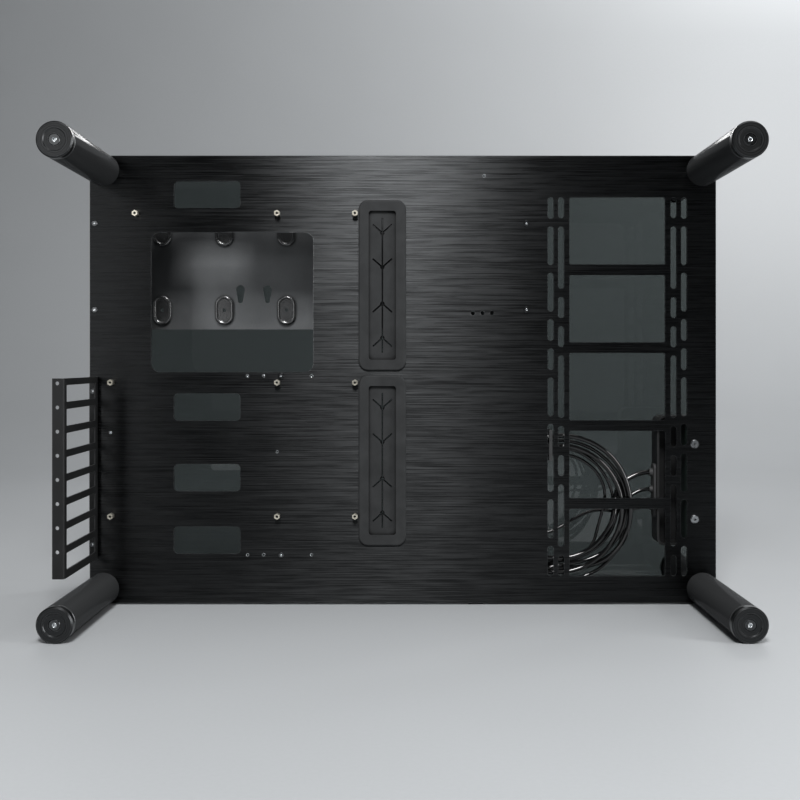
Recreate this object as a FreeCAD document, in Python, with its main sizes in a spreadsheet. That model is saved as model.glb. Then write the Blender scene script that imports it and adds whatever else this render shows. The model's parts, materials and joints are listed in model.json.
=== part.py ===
"""Open-frame desktop computer case: one upright plate carried between round posts.

Millimetres. +X is right and +Z up as seen from the front, and +Y points to the back.
The origin is at the bottom centre of the case, on the surface that the posts stand on.
Most pieces are drawn in the plate's own frame: x and z from the middle of the plate,
y from its front face towards the back.
"""
import FreeCAD
import Part
import math
import os
import Sketcher

SIZES = {
    # Main plate and its windows
    "plate_width": 585,
    "plate_height": 418,
    "plate_thickness": 3,
    "plate_edge_chamfer": 0.6,
    "cpu_window_inset": 133.1,
    "cpu_window_drop": 136.9,
    "cpu_window_width": 151.3,
    "cpu_window_height": 130.4,
    "cpu_window_radius": 8,
    "cable_window_inset": 109.6,
    "cable_window_width": 62,
    "cable_window_height": 25.2,
    "cable_window_radius": 4,
    "cable_window_drop_1": 36.4,
    "cable_window_drop_2": 234.9,
    "cable_window_drop_3": 300.8,
    "cable_window_drop_4": 359.2,
    "radiator_inset": 92.2,
    "radiator_drop": 215.8,
    "radiator_width": 89.5,
    "radiator_height": 353.8,
    "radiator_cells": 5,
    "radiator_bar": 10,
    "radiator_corner": 1.5,
    "fan_slot_width": 5.6,
    "small_fan_pitch": 105,
    "small_fan_short_slot": 19.4,
    "small_fan_web": 7.86,
    "large_fan_pitch": 124.5,
    "large_fan_short_slot": 20,
    "large_fan_long_slot": 36,
    "large_fan_web": 7.3,
    "tapped_hole": 3,
    "wire_hole": 4,
    "wire_hole_inset": 218.2,
    "wire_hole_drop": 147.1,
    "wire_hole_pitch": 8.9,
    # Posts, caps and what joins them
    "post_inset_x": 12.5,
    "post_inset_z": 13.5,
    "post_diameter": 30,
    "post_end_chamfer": 0.8,
    "front_post_length": 150,
    "rear_post_length": 105,
    "stud_diameter": 8,
    "stud_depth": 16,
    "thread_clearance": 0.1,
    "cap_thickness": 8,
    "cap_chamfer": 1.2,
    "cap_dish_diameter": 19,
    "cap_dish_depth": 0.8,
    "cap_screw_diameter": 6,
    "cap_screw_depth": 14,
    "cap_head_diameter": 10,
    "cap_head_height": 4.5,
    "cap_head_chamfer": 0.6,
    "cap_head_hex": 4,
    "cap_head_hex_depth": 2.5,
    "washer_thickness": 1,
    "washer_diameter": 29,
    "glass_thickness": 5,
    "glass_hole": 9,
    "glass_corner": 6,
    # Motherboard stand-offs
    "motherboard_inset": 247.9,
    "motherboard_drop": 54.4,
    "standoff_hex": 5,
    "standoff_height": 7,
    "standoff_stud": 3,
    "standoff_thread": 2.5,
    "standoff_thread_depth": 6,
    # Slit rubber cable grommets
    "grommet_inset": 273.3,
    "upper_grommet_drop": 121.2,
    "lower_grommet_drop": 284.6,
    "grommet_width": 44.4,
    "grommet_height": 159,
    "grommet_radius": 9,
    "grommet_lip": 3.5,
    "grommet_proud": 2.5,
    "grommet_edge_round": 1.6,
    "grommet_back_lip": 2,
    "grommet_recess_width": 25.5,
    "grommet_recess_height": 139,
    "grommet_recess_radius": 2.5,
    "grommet_membrane": 4,
    "grommet_groove": 1.5,
    "grommet_groove_depth": 3.2,
    "grommet_slit": 0.4,
    "grommet_slit_length": 126,
    "grommet_dot": 4.2,
    "grommet_inner_dot_z": 17,
    "grommet_outer_dot_z": 49,
    "grommet_arm_x": 9,
    "grommet_arm_z": 8,
    # Expansion-card bracket
    "bracket_sheet": 1.2,
    "bracket_bend": 1.2,
    "bracket_inset": 8,
    "bracket_rise": 42.3,
    "bracket_height": 169.2,
    "bracket_depth": 112,
    "bracket_flange": 10.4,
    "card_slots": 8,
    "card_pitch": 20.32,
    "card_opening_height": 14.2,
    "card_opening_drop": 12.86,
    "card_opening_near": 7,
    "card_opening_far": 11,
    "card_hole": 3.2,
    "card_hole_inset": 6.1,
    "card_hole_drop": 4.2,
    "bracket_foot": 8,
    "bracket_screw_inset": 4.5,
    "bracket_screw_drop": 13.5,
    "bracket_screw_rise": 12.9,
    # Drive tray behind the plate
    "tray_sheet": 1.5,
    "tray_bend": 2,
    "tray_inset": 1.5,
    "tray_width": 409.5,
    "tray_drop": 40,
    "tray_height": 120,
    "tray_depth": 90,
    "tray_foot": 12,
    "tray_screw_inset": 3.3,
    "tray_screw_spacing": 80.5,
    "tray_screw_offset": -3.75,
    "pad_columns": 6,
    "pad_column_pitch": 62.5,
    "pad_row_spacing": 79.2,
    "pad_offset": -1.1,
    "pad_width": 18.5,
    "pad_height": 29,
    "pad_raised": 5,
    "pad_rim": 3,
    "pad_rim_height": 1.6,
    "pad_edge_round": 1.4,
    "pad_neck": 2.5,
    "pad_neck_clearance": 0.1,
    "pad_back_lip": 1.5,
    "pad_hole": 3.6,
    "keyhole_offset_x": -64.35,
    "keyhole_offset_z": -20,
    "keyhole_pitch": 27.2,
    "keyhole_top": 9,
    "keyhole_bottom": 5,
    "keyhole_drop": 11,
    # Power supply bracket and strap
    "supply_offset": 1.8,
    "supply_width": 150,
    "supply_depth": 86,
    "supply_gap": 2,
    "supply_margin": 4,
    "supply_opening_width": 126,
    "supply_opening_depth": 58,
    "supply_opening_radius": 6,
    "supply_hole": 4,
    "strap_width": 16,
    "strap_sheet": 1.5,
    "strap_bend": 2,
    "strap_play": 1.6,
    "strap_hole_spacing": 167.2,
    "strap_foot_reach": 3,
    "strap_reach_1": 139.3,
    "strap_reach_2": 154.4,
    "strap_reach_3": 170.7,
    "strap_reach_4": 199.1,
    # Small screws
    "small_screw": 3,
    "small_screw_head": 5.6,
    "small_screw_head_height": 1.8,
    "small_screw_head_chamfer": 0.6,
    "small_screw_hex": 2,
    "small_screw_hex_depth": 1.1,
    "small_screw_past": 2,
    # Front panel module behind the right edge
    "panel_inset": 4.5,
    "panel_rise": 53.5,
    "panel_width": 50,
    "panel_height": 121.5,
    "panel_depth": 25,
    "panel_wall": 2,
    "panel_corner": 7,
    "panel_inner_corner": 5,
    "panel_screw": 4,
    "panel_screw_head": 8,
    "panel_screw_head_height": 2.4,
    "panel_screw_head_chamfer": 0.8,
    "panel_screw_hex": 2.5,
    "panel_screw_hex_depth": 1.5,
    "panel_screw_length": 14,
    "panel_screw_inset": 15.7,
    "panel_screw_upper_rise": 95.2,
    "panel_screw_lower_rise": 25,
    "panel_boss": 7,
    "board_thickness": 1.6,
    "board_inset": 22.6,
    "board_margin": 2,
    "panel_clearance": 0.15,
    "data_socket_width": 13.2,
    "data_socket_height": 5.7,
    "data_socket_wall": 0.4,
    "data_socket_floor": 6,
    "data_tongue": 1.9,
    "data_tongue_width": 11.1,
    "data_tongue_setback": 1.2,
    "upper_data_rise": 83.5,
    "lower_data_rise": 66.5,
    "sound_jack_body": 10,
    "sound_jack_nose": 6,
    "sound_jack_bore": 3.5,
    "sound_jack_bore_depth": 15,
    "headphone_rise": 52,
    "microphone_rise": 39.5,
    "power_button": 13.6,
    "power_button_rise": 106.5,
    "reset_button": 6,
    "reset_button_rise": 13.5,
    "button_clearance": 0.2,
    "button_flange": 1.5,
    "button_flange_height": 2,
    "button_proud": 1.6,
    "button_chamfer": 0.5,
    "button_travel": 1.5,
    "button_rest_gap": 0.3,
    "button_stem": 3.4,
    "switch_size": 6,
    "switch_height": 4,
    "switch_plunger": 3.4,
    "switch_plunger_height": 2,
    # Cable outlet, cables, coil, tie and connectors
    "outlet_base": 2,
    "outlet_width": 15,
    "outlet_margin": 8,
    "outlet_corner": 4,
    "outlet_nozzle": 3,
    "outlet_nozzle_wall": 1.2,
    "outlet_taper": 7,
    "data_cable": 4.6,
    "sound_cable": 3.5,
    "switch_cable": 3,
    "data_outlet_rise": 67.5,
    "sound_outlet_rise": 51.5,
    "switch_outlet_rise": 34.5,
    "coil_x": 145,
    "coil_z": -119.5,
    "coil_outer_radius": 70.5,
    "coil_inner_radius": 46,
    "coil_thickness": 13,
    "coil_corner": 3.5,
    "coil_gap": 0.6,
    "tie_width": 3,
    "tie_thickness": 1.2,
    "tie_x": 138,
    "tie_top_z": -48.3,
    "tie_bottom_z": -74.8,
    "tie_head": 5,
    "tie_head_depth": 4,
    "connector_round": 0.8,
    "data_connector_length": 20,
    "data_connector_width": 24,
    "data_connector_height": 9,
    "sound_connector_length": 14,
    "sound_connector_width": 13,
    "sound_connector_height": 6,
    "switch_connector_length": 14,
    "switch_connector_width": 8,
    "switch_connector_height": 5,
    "connector_socket_depth": 6,
    "connector_socket_wall": 1.2,
}

doc = FreeCAD.newDocument("open_frame_case")
sheet = doc.addObject("Spreadsheet::Sheet", "dims")
for row, (alias, number) in enumerate(SIZES.items(), start=1):
    sheet.set(f"A{row}", alias)
    sheet.set(f"B{row}", str(number))
    sheet.setAlias(f"B{row}", alias)
doc.recompute()

UP = FreeCAD.Vector(0, 0, 1)
HALF_TURN = FreeCAD.Rotation(UP, 180)

# Places that many pieces share, as expressions on the sheet
LEFT, RIGHT = "(-dims.plate_width / 2)", "(dims.plate_width / 2)"
BOTTOM, TOP = "(-dims.plate_height / 2)", "(dims.plate_height / 2)"
GLASS_STACK = "(2 * dims.washer_thickness + dims.glass_thickness)"
DEPTH = (
    "(dims.front_post_length + dims.plate_thickness + dims.rear_post_length"
    f" + {GLASS_STACK} + 2 * dims.cap_thickness)"
)
PLATE_FRONT = f"(dims.front_post_length + dims.cap_thickness - {DEPTH} / 2)"
PLATE_MIDDLE = f"({TOP} - dims.post_inset_z + dims.post_diameter / 2)"
PLATE_BACK = "dims.plate_thickness"
REAR_POST_END = f"({PLATE_BACK} + dims.rear_post_length)"
REAR_GLASS_FRONT = f"({REAR_POST_END} + dims.washer_thickness)"
REAR_GLASS_BACK = f"({REAR_GLASS_FRONT} + dims.glass_thickness)"
CORNERS = {
    "top_left": (f"{LEFT} + dims.post_inset_x", f"{TOP} - dims.post_inset_z"),
    "top_right": (f"{RIGHT} - dims.post_inset_x", f"{TOP} - dims.post_inset_z"),
    "bottom_left": (f"{LEFT} + dims.post_inset_x", f"{BOTTOM} + dims.post_inset_z"),
    "bottom_right": (f"{RIGHT} - dims.post_inset_x", f"{BOTTOM} + dims.post_inset_z"),
}
STUD_HOLE = "dims.stud_diameter + 2 * dims.thread_clearance"
SMALL_SCREW_HOLE = "dims.small_screw + 2 * dims.thread_clearance"

# Stand-off places of the standard full-size board, left of the right column and below the top row
BOARD_COLUMNS = {"left": "227.33", "shifted_left": "204.47", "middle": "72.39", "right": "0"}
BOARD_ROWS = {"top": "0", "middle": "157.48", "bottom": "281.94"}
BOARD_HOLES = [
    ("shifted_left", "top"), ("middle", "top"), ("right", "top"),
    ("left", "middle"), ("middle", "middle"), ("right", "middle"),
    ("left", "bottom"), ("middle", "bottom"), ("right", "bottom"),
]
STANDOFFS = [
    (
        f"{LEFT} + dims.motherboard_inset - {BOARD_COLUMNS[column]}",
        f"{TOP} - dims.motherboard_drop - {BOARD_ROWS[line]}",
    )
    for column, line in BOARD_HOLES
]
# Holes of the standard power supply face, from its lower corner beside the plate
SUPPLY_HOLES = [("6", "6"), ("6", "144"), ("70", "6"), ("80", "120")]
# Spare tapped holes, from the edges of the plate
SPARE_TAPPED_HOLES = [
    (f"{LEFT} + 19.4", f"{BOTTOM} + 159.4"),
    (f"{LEFT} + 175.2", f"{BOTTOM} + 141.4"),
    (f"{RIGHT} - 216.7", f"{TOP} - 18.9"),
    (f"{RIGHT} - 30.7", f"{BOTTOM} + 159"),
]

BRACKET_X = f"({LEFT} + dims.bracket_inset)"
BRACKET_BOTTOM = f"({BOTTOM} + dims.bracket_rise)"
BRACKET_TOP = f"({BRACKET_BOTTOM} + dims.bracket_height)"
BRACKET_SCREWS = [
    (f"{BRACKET_X} - dims.bracket_screw_inset", f"{BRACKET_TOP} - dims.bracket_screw_drop"),
    (f"{BRACKET_X} - dims.bracket_screw_inset", f"{BRACKET_BOTTOM} + dims.bracket_screw_rise"),
]
TRAY_LEFT = f"({LEFT} + dims.tray_inset)"
TRAY_RIGHT = f"({TRAY_LEFT} + dims.tray_width)"
TRAY_X = f"({TRAY_LEFT} + dims.tray_width / 2)"
TRAY_Z = f"({TOP} - dims.tray_drop - dims.tray_height / 2)"
TRAY_SCREWS = [
    (x, f"{TRAY_Z} + dims.tray_screw_offset {side} dims.tray_screw_spacing / 2")
    for x in (f"{TRAY_LEFT} + dims.tray_screw_inset", f"{TRAY_RIGHT} - dims.tray_screw_inset")
    for side in "+-"
]
SUPPLY_Z = f"({BRACKET_BOTTOM} + dims.bracket_height / 2 + dims.supply_offset)"
STRAP_PLACES = [f"({BRACKET_X} + dims.strap_reach_{number})" for number in (1, 2, 3, 4)]
STRAP_PLACE_IN_USE = STRAP_PLACES[2]
STRAP_HOLES = [f"{SUPPLY_Z} {side} dims.strap_hole_spacing / 2" for side in "+-"]
PANEL_RIGHT = f"({RIGHT} - dims.panel_inset)"
PANEL_LEFT = f"({PANEL_RIGHT} - dims.panel_width)"
PANEL_BOTTOM = f"({BOTTOM} + dims.panel_rise)"
PANEL_TOP = f"({PANEL_BOTTOM} + dims.panel_height)"
PANEL_SCREWS = [
    (f"{PANEL_RIGHT} - dims.panel_screw_inset", f"{PANEL_BOTTOM} + dims.panel_screw_{place}_rise")
    for place in ("upper", "lower")
]

nodes = []


def value(expression):
    """The number that an expression on the sheet has now."""
    return float(sheet.evalExpression(expression))


class Drawing:
    """A sketch of closed loops whose sizes and places are bound to the sheet."""

    def __init__(self, body, name, role, height):
        plane = next(item for item in body.Origin.OriginFeatures if item.Role == role)
        self.body = body
        self.sketch = body.newObject("Sketcher::SketchObject", name)
        self.sketch.AttachmentSupport = [(plane, "")]
        self.sketch.MapMode = "FlatFace"
        self.sketch.setExpression("AttachmentOffset.Base.z", height)

    def draw(self, shapes):
        """Adds the shapes and gives their numbers in the sketch."""
        first = self.sketch.GeometryCount
        self.sketch.addGeometry(shapes, False)
        return list(range(first, first + len(shapes)))

    def hold(self, rules, sizes):
        """Adds the rules that keep a loop's form, and the sizes that the sheet sets."""
        constraints = [Sketcher.Constraint(*rule) for rule in rules]
        constraints += [Sketcher.Constraint(*refs, value(size)) for refs, size in sizes]
        numbers = self.sketch.addConstraint(constraints)
        for number, (_, size) in zip(numbers[len(rules):], sizes):
            self.sketch.setExpression(f"Constraints[{number}]", size)

    def circle(self, x, y, diameter):
        centre = FreeCAD.Vector(value(x), value(y), 0)
        ring, = self.draw([Part.Circle(centre, UP, value(diameter) / 2)])
        self.hold([], [
            (("DistanceX", -1, 1, ring, 3), x),
            (("DistanceY", -1, 1, ring, 3), y),
            (("Diameter", ring), diameter),
        ])

    def polygon(self, corners):
        """Straight lines from corner to corner, each corner an (x, y) of expressions."""
        points = [FreeCAD.Vector(value(x), value(y), 0) for x, y in corners]
        ends = points[1:] + points[:1]
        lines = self.draw([Part.LineSegment(start, end) for start, end in zip(points, ends)])
        following = lines[1:] + lines[:1]
        rules = [("Coincident", line, 2, after, 1) for line, after in zip(lines, following)]
        sizes = []
        for line, (x, y) in zip(lines, corners):
            sizes.append((("DistanceX", -1, 1, line, 1), x))
            sizes.append((("DistanceY", -1, 1, line, 1), y))
        self.hold(rules, sizes)

    def block(self, x, y, width, height):
        """A rectangle about its middle."""
        left, right = f"({x}) - ({width}) / 2", f"({x}) + ({width}) / 2"
        low, high = f"({y}) - ({height}) / 2", f"({y}) + ({height}) / 2"
        self.polygon([(left, low), (right, low), (right, high), (left, high)])

    def hexagon(self, across_flats):
        """A hexagon about the sketch's origin, with two flats facing left and right."""
        reach = f"({across_flats}) / sqrt(3)"
        self.polygon([(f"{reach} * cos({a})", f"{reach} * sin({a})") for a in range(30, 390, 60)])

    def rounded_block(self, x, y, width, height, radius):
        """A rectangle about its middle, with round corners."""
        r = value(radius)
        half_x, half_y = value(width) / 2 - r, value(height) / 2 - r
        arcs = []
        for quarter, (side_x, side_y) in enumerate([(1, -1), (1, 1), (-1, 1), (-1, -1)]):
            centre = FreeCAD.Vector(value(x) + side_x * half_x, value(y) + side_y * half_y, 0)
            start = (quarter - 1) * math.pi / 2
            arcs.append(Part.ArcOfCircle(Part.Circle(centre, UP, r), start, start + math.pi / 2))
        lines = [Part.LineSegment(arcs[i].EndPoint, arcs[(i + 1) % 4].StartPoint) for i in range(4)]
        numbers = self.draw(arcs + lines)
        corners, sides = numbers[:4], numbers[4:]
        rules = [("Tangent", corners[i], 2, sides[i], 1) for i in range(4)]
        rules += [("Tangent", sides[i], 2, corners[(i + 1) % 4], 1) for i in range(4)]
        rules += [("Equal", corners[0], corner) for corner in corners[1:]]
        rules += [("Vertical", sides[0]), ("Horizontal", sides[1])]
        rules += [("Vertical", sides[2]), ("Horizontal", sides[3])]
        self.hold(rules, [
            (("DistanceX", -1, 1, sides[2], 1), f"({x}) - ({width}) / 2"),
            (("DistanceX", -1, 1, sides[0], 1), f"({x}) + ({width}) / 2"),
            (("DistanceY", -1, 1, sides[3], 1), f"({y}) - ({height}) / 2"),
            (("DistanceY", -1, 1, sides[1], 1), f"({y}) + ({height}) / 2"),
            (("Radius", corners[0]), radius),
        ])

    def upright_slot(self, x, y, width, height):
        """A slot with round ends, standing upright about its middle."""
        r = value(width) / 2
        rise = FreeCAD.Vector(0, value(height) / 2 - r, 0)
        middle = FreeCAD.Vector(value(x), value(y), 0)
        top = Part.ArcOfCircle(Part.Circle(middle + rise, UP, r), 0, math.pi)
        bottom = Part.ArcOfCircle(Part.Circle(middle - rise, UP, r), math.pi, 2 * math.pi)
        left = Part.LineSegment(top.EndPoint, bottom.StartPoint)
        right = Part.LineSegment(bottom.EndPoint, top.StartPoint)
        top, left, bottom, right = self.draw([top, left, bottom, right])
        rules = [
            ("Tangent", top, 2, left, 1),
            ("Tangent", left, 2, bottom, 1),
            ("Tangent", bottom, 2, right, 1),
            ("Tangent", right, 2, top, 1),
            ("Vertical", left),
            ("Vertical", right),
        ]
        self.hold(rules, [
            (("DistanceX", -1, 1, top, 3), x),
            (("DistanceY", -1, 1, top, 3), f"({y}) + (({height}) - ({width})) / 2"),
            (("DistanceY", -1, 1, bottom, 3), f"({y}) - (({height}) - ({width})) / 2"),
            (("Radius", top), f"({width}) / 2"),
        ])


def front_drawing(body, name, y="0"):
    """A sketch in x and z, facing the viewer, at y in the body's frame."""
    return Drawing(body, name, "XZ_Plane", f"-({y})")


def side_drawing(body, name, x="0"):
    """A sketch in y and z, facing right, at x in the body's frame."""
    return Drawing(body, name, "YZ_Plane", x)


def plan_drawing(body, name, z="0"):
    """A sketch in x and y, facing up, at z in the body's frame."""
    return Drawing(body, name, "XY_Plane", z)


def make_body(label, x="0", y="0", z="0", turned=False):
    """A body at a place in the case's frame, or turned to face the front."""
    body = doc.addObject("PartDesign::Body", label)
    body.Label = label
    if turned:
        body.Placement = FreeCAD.Placement(FreeCAD.Vector(), HALF_TURN)
    for axis, place in zip("xyz", (x, y, z)):
        body.setExpression(f"Placement.Base.{axis}", place)
    return body


def plate_node(label, x="0", y="0", z="0", turned=False):
    """A body that is a node, at a place in the plate's frame."""
    body = make_body(label, x, f"{PLATE_FRONT} + ({y})", f"{PLATE_MIDDLE} + ({z})", turned)
    nodes.append(body)
    return body


def pad(drawing, length, backwards=False, taper=None):
    """A pad along the sketch's normal, or against it."""
    feature = drawing.body.newObject("PartDesign::Pad", f"{drawing.sketch.Name}_pad")
    feature.Profile = drawing.sketch
    feature.setExpression("Length", length)
    feature.Reversed = backwards
    if taper:
        feature.setExpression("TaperAngle", f"-({taper})")
    doc.recompute()
    return feature


def cut(drawing, length=None, backwards=False):
    """A pocket against the sketch's normal, or along it; right through if it has no length."""
    before = drawing.body.Shape.Volume
    feature = drawing.body.newObject("PartDesign::Pocket", f"{drawing.sketch.Name}_cut")
    feature.Profile = drawing.sketch
    feature.Reversed = backwards
    if length:
        feature.setExpression("Length", length)
    else:
        feature.Type = "ThroughAll"
    doc.recompute()
    if not drawing.body.Shape.Volume < before - 1e-6:
        raise RuntimeError(f"{feature.Name} cuts nothing")
    return feature


def repeat(feature, drawing, length, occurrences):
    """A downward row of copies of a feature."""
    pattern = drawing.body.newObject("PartDesign::LinearPattern", f"{feature.Name}_row")
    pattern.Originals = [feature]
    pattern.Direction = (drawing.sketch, ["V_Axis"])
    pattern.Reversed = True
    pattern.setExpression("Length", length)
    pattern.setExpression("Occurrences", occurrences)
    drawing.body.Tip = pattern
    doc.recompute()
    return pattern


def turn(body, name, profile, axis="V_Axis"):
    """A piece turned about an axis of the plan; the profile is a ring of corners."""
    drawing = plan_drawing(body, name)
    drawing.polygon(profile)
    feature = body.newObject("PartDesign::Revolution", f"{name}_turned")
    feature.Profile = drawing.sketch
    feature.ReferenceAxis = (drawing.sketch, [axis])
    doc.recompute()
    return feature


def dress(kind, size_name, feature, size, chosen):
    """A fillet or chamfer on the edges of a feature that a test chooses."""
    names = [f"Edge{i}" for i, edge in enumerate(feature.Shape.Edges, start=1) if chosen(edge)]
    if not names:
        raise RuntimeError(f"{feature.Name} has no such edge")
    dressed = feature.getParentGeoFeatureGroup().newObject(kind, f"{feature.Name}_{size_name.lower()}")
    dressed.Base = (feature, names)
    dressed.setExpression(size_name, size)
    doc.recompute()
    return dressed


def fillet(feature, radius, chosen):
    return dress("PartDesign::Fillet", "Radius", feature, radius, chosen)


def chamfer(feature, size, chosen):
    return dress("PartDesign::Chamfer", "Size", feature, size, chosen)


def edges_at(axes, places):
    """Chooses the edges whose ends both have one of the places on the named axes."""
    targets = [[value(number) for number in place] for place in places]

    def chosen(edge):
        ends = [[getattr(vertex.Point, axis) for axis in axes] for vertex in edge.Vertexes]
        return any(all(math.dist(end, target) < 1e-6 for end in ends) for target in targets)

    return chosen


def bend(feature, axes, inner, outer, radius, thickness):
    """Rounds the folds of a sheet piece, inside and outside."""
    folded = fillet(feature, radius, edges_at(axes, inner))
    return fillet(folded, f"{radius} + {thickness}", edges_at(axes, outer))


def group(label, copies):
    """One node of separate like solids, each a (master body, x, y, z, turned) in the plate's frame."""
    shapes = []
    for master, x, y, z, turned in copies:
        shape = master.Shape.copy()
        rotation = HALF_TURN if turned else FreeCAD.Rotation()
        shape.Placement = FreeCAD.Placement(FreeCAD.Vector(value(x), value(y), value(z)), rotation)
        shapes.append(shape)
    node = doc.addObject("Part::Feature", label)
    node.Label = label
    node.Shape = Part.makeCompound(shapes)
    node.Placement.Base = FreeCAD.Vector(0, value(PLATE_FRONT), value(PLATE_MIDDLE))
    nodes.append(node)


# Main plate

RADIATOR_X = f"({RIGHT} - dims.radiator_inset)"
RADIATOR_TOP = f"({TOP} - dims.radiator_drop + dims.radiator_height / 2)"
RADIATOR_CELL = (
    "((dims.radiator_height - (dims.radiator_cells - 1) * dims.radiator_bar) / dims.radiator_cells)"
)
SMALL_FAN_LONG_SLOT = (
    "((dims.radiator_height - 6 * dims.small_fan_short_slot - 8 * dims.small_fan_web) / 3)"
)
SMALL_FAN_COLUMN = {
    "order": "short long short short long short short long short",
    "short": "dims.small_fan_short_slot",
    "long": SMALL_FAN_LONG_SLOT,
    "web": "dims.small_fan_web",
}
LARGE_FAN_COLUMN = {
    "order": "short long long short short long short long long rest",
    "short": "dims.large_fan_short_slot",
    "long": "dims.large_fan_long_slot",
    "web": "dims.large_fan_web",
}


def fan_slots(drawing, x, column):
    """One column of upright slots beside the radiator window, from its top to its bottom."""
    above = "0"
    for kind in column["order"].split():
        height = f"(dims.radiator_height - ({above}))" if kind == "rest" else column[kind]
        drawing.upright_slot(x, f"{RADIATOR_TOP} - ({above}) - {height} / 2", "dims.fan_slot_width", height)
        above = f"{above} + {height} + {column['web']}"


def main_plate():
    body = plate_node("main_plate")
    outline = front_drawing(body, "plate_outline")
    outline.block("0", "0", "dims.plate_width", "dims.plate_height")
    blank = pad(outline, "dims.plate_thickness", backwards=True)
    chamfer(blank, "dims.plate_edge_chamfer", edges_at("y", [("0",)]))

    windows = front_drawing(body, "plate_windows")
    windows.rounded_block(f"{LEFT} + dims.cpu_window_inset", f"{TOP} - dims.cpu_window_drop",
                          "dims.cpu_window_width", "dims.cpu_window_height", "dims.cpu_window_radius")
    for number in (1, 2, 3, 4):
        z = f"{TOP} - dims.cable_window_drop_{number}"
        windows.rounded_block(f"{LEFT} + dims.cable_window_inset", z, "dims.cable_window_width",
                              "dims.cable_window_height", "dims.cable_window_radius")
    for z in GROMMETS.values():
        windows.rounded_block(GROMMET_X, z, GROMMET_HOLE_WIDTH, GROMMET_HOLE_HEIGHT, GROMMET_HOLE_RADIUS)
    cut(windows)

    cell = front_drawing(body, "radiator_cell")
    cell.rounded_block(RADIATOR_X, f"{RADIATOR_TOP} - {RADIATOR_CELL} / 2", "dims.radiator_width",
                       RADIATOR_CELL, "dims.radiator_corner")
    pitch = f"({RADIATOR_CELL} + dims.radiator_bar)"
    repeat(cut(cell), cell, f"{pitch} * (dims.radiator_cells - 1)", "dims.radiator_cells")

    for name, fan, column in (
        ("small_fan_slots", "dims.small_fan_pitch", SMALL_FAN_COLUMN),
        ("large_fan_slots", "dims.large_fan_pitch", LARGE_FAN_COLUMN),
    ):
        slots = front_drawing(body, name)
        for side in "-+":
            fan_slots(slots, f"{RADIATOR_X} {side} {fan} / 2", column)
        cut(slots)

    holes = front_drawing(body, "plate_holes")
    for x, z in STANDOFFS:
        holes.circle(x, z, "dims.standoff_stud + 2 * dims.thread_clearance")
    for x, z in CORNERS.values():
        holes.circle(x, z, STUD_HOLE)
    for x, z in BRACKET_SCREWS + TRAY_SCREWS:
        holes.circle(x, z, SMALL_SCREW_HOLE)
    for x in STRAP_PLACES:
        for z in STRAP_HOLES:
            holes.circle(x, z, SMALL_SCREW_HOLE)
    for x, z in PANEL_SCREWS:
        holes.circle(x, z, "dims.panel_screw + 2 * dims.thread_clearance")
    for x, z in SPARE_TAPPED_HOLES:
        holes.circle(x, z, "dims.tapped_hole")
    for step in (-1, 0, 1):
        x = f"{RIGHT} - dims.wire_hole_inset + {step} * dims.wire_hole_pitch"
        holes.circle(x, f"{TOP} - dims.wire_hole_drop", "dims.wire_hole")
    cut(holes)


# Posts, caps, glass and what joins them

CAP_SCREW_HOLE = "(dims.cap_screw_diameter / 2 + dims.thread_clearance)"
CAP_SEAT = "(dims.cap_thickness - dims.cap_dish_depth - dims.cap_head_height)"


def post(label, length, x, y, z, turned):
    body = plate_node(label, x, y, z, turned)
    radius = "dims.post_diameter / 2"
    stud_bore = "dims.stud_diameter / 2 + dims.thread_clearance"
    screw_bore_end = f"{length} - dims.cap_screw_depth"
    turn(body, f"{label}_profile", [
        (stud_bore, "0"),
        (radius, "0"),
        (radius, f"{length} - dims.post_end_chamfer"),
        (f"{radius} - dims.post_end_chamfer", length),
        (CAP_SCREW_HOLE, length),
        (CAP_SCREW_HOLE, screw_bore_end),
        ("0", screw_bore_end),
        ("0", "dims.stud_depth"),
        (stud_bore, "dims.stud_depth"),
    ])


def cap(label, x, y, z, turned):
    body = plate_node(label, x, y, z, turned)
    radius, top = "dims.post_diameter / 2", "dims.cap_thickness"
    dish = "dims.cap_dish_diameter / 2"
    head = "dims.cap_head_diameter / 2 + dims.thread_clearance"
    turn(body, f"{label}_profile", [
        (CAP_SCREW_HOLE, "0"),
        (f"{radius} - dims.post_end_chamfer", "0"),
        (radius, "dims.post_end_chamfer"),
        (radius, f"{top} - dims.cap_chamfer"),
        (f"{radius} - dims.cap_chamfer", top),
        (dish, top),
        (f"{dish} - dims.cap_dish_depth", f"{top} - dims.cap_dish_depth"),
        (head, f"{top} - dims.cap_dish_depth"),
        (head, CAP_SEAT),
        (CAP_SCREW_HOLE, CAP_SEAT),
    ])


def posts_and_caps():
    """The front ones point towards the viewer, and the rear ones carry the glass."""
    for corner, (x, z) in CORNERS.items():
        post(f"front_post_{corner}", "dims.front_post_length", x, "0", z, turned=True)
        post(f"rear_post_{corner}", "dims.rear_post_length", x, PLATE_BACK, z, turned=False)
        cap(f"front_cap_{corner}", x, "-dims.front_post_length", z, turned=True)
        cap(f"rear_cap_{corner}", x, f"{REAR_GLASS_BACK} + dims.washer_thickness", z, turned=False)


def cap_screw(name, shank):
    """A socket screw with the seat of its head at the origin."""
    body = make_body(name)
    shaft, head = "dims.cap_screw_diameter / 2", "dims.cap_head_diameter / 2"
    top = "dims.cap_head_height"
    turn(body, f"{name}_profile", [
        ("0", f"-({shank})"),
        (shaft, f"-({shank})"),
        (shaft, "0"),
        (head, "0"),
        (head, f"{top} - dims.cap_head_chamfer"),
        (f"{head} - dims.cap_head_chamfer", top),
        ("0", top),
    ])
    socket = front_drawing(body, f"{name}_socket", top)
    socket.hexagon("dims.cap_head_hex")
    cut(socket, "dims.cap_head_hex_depth", backwards=True)
    return body


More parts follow.
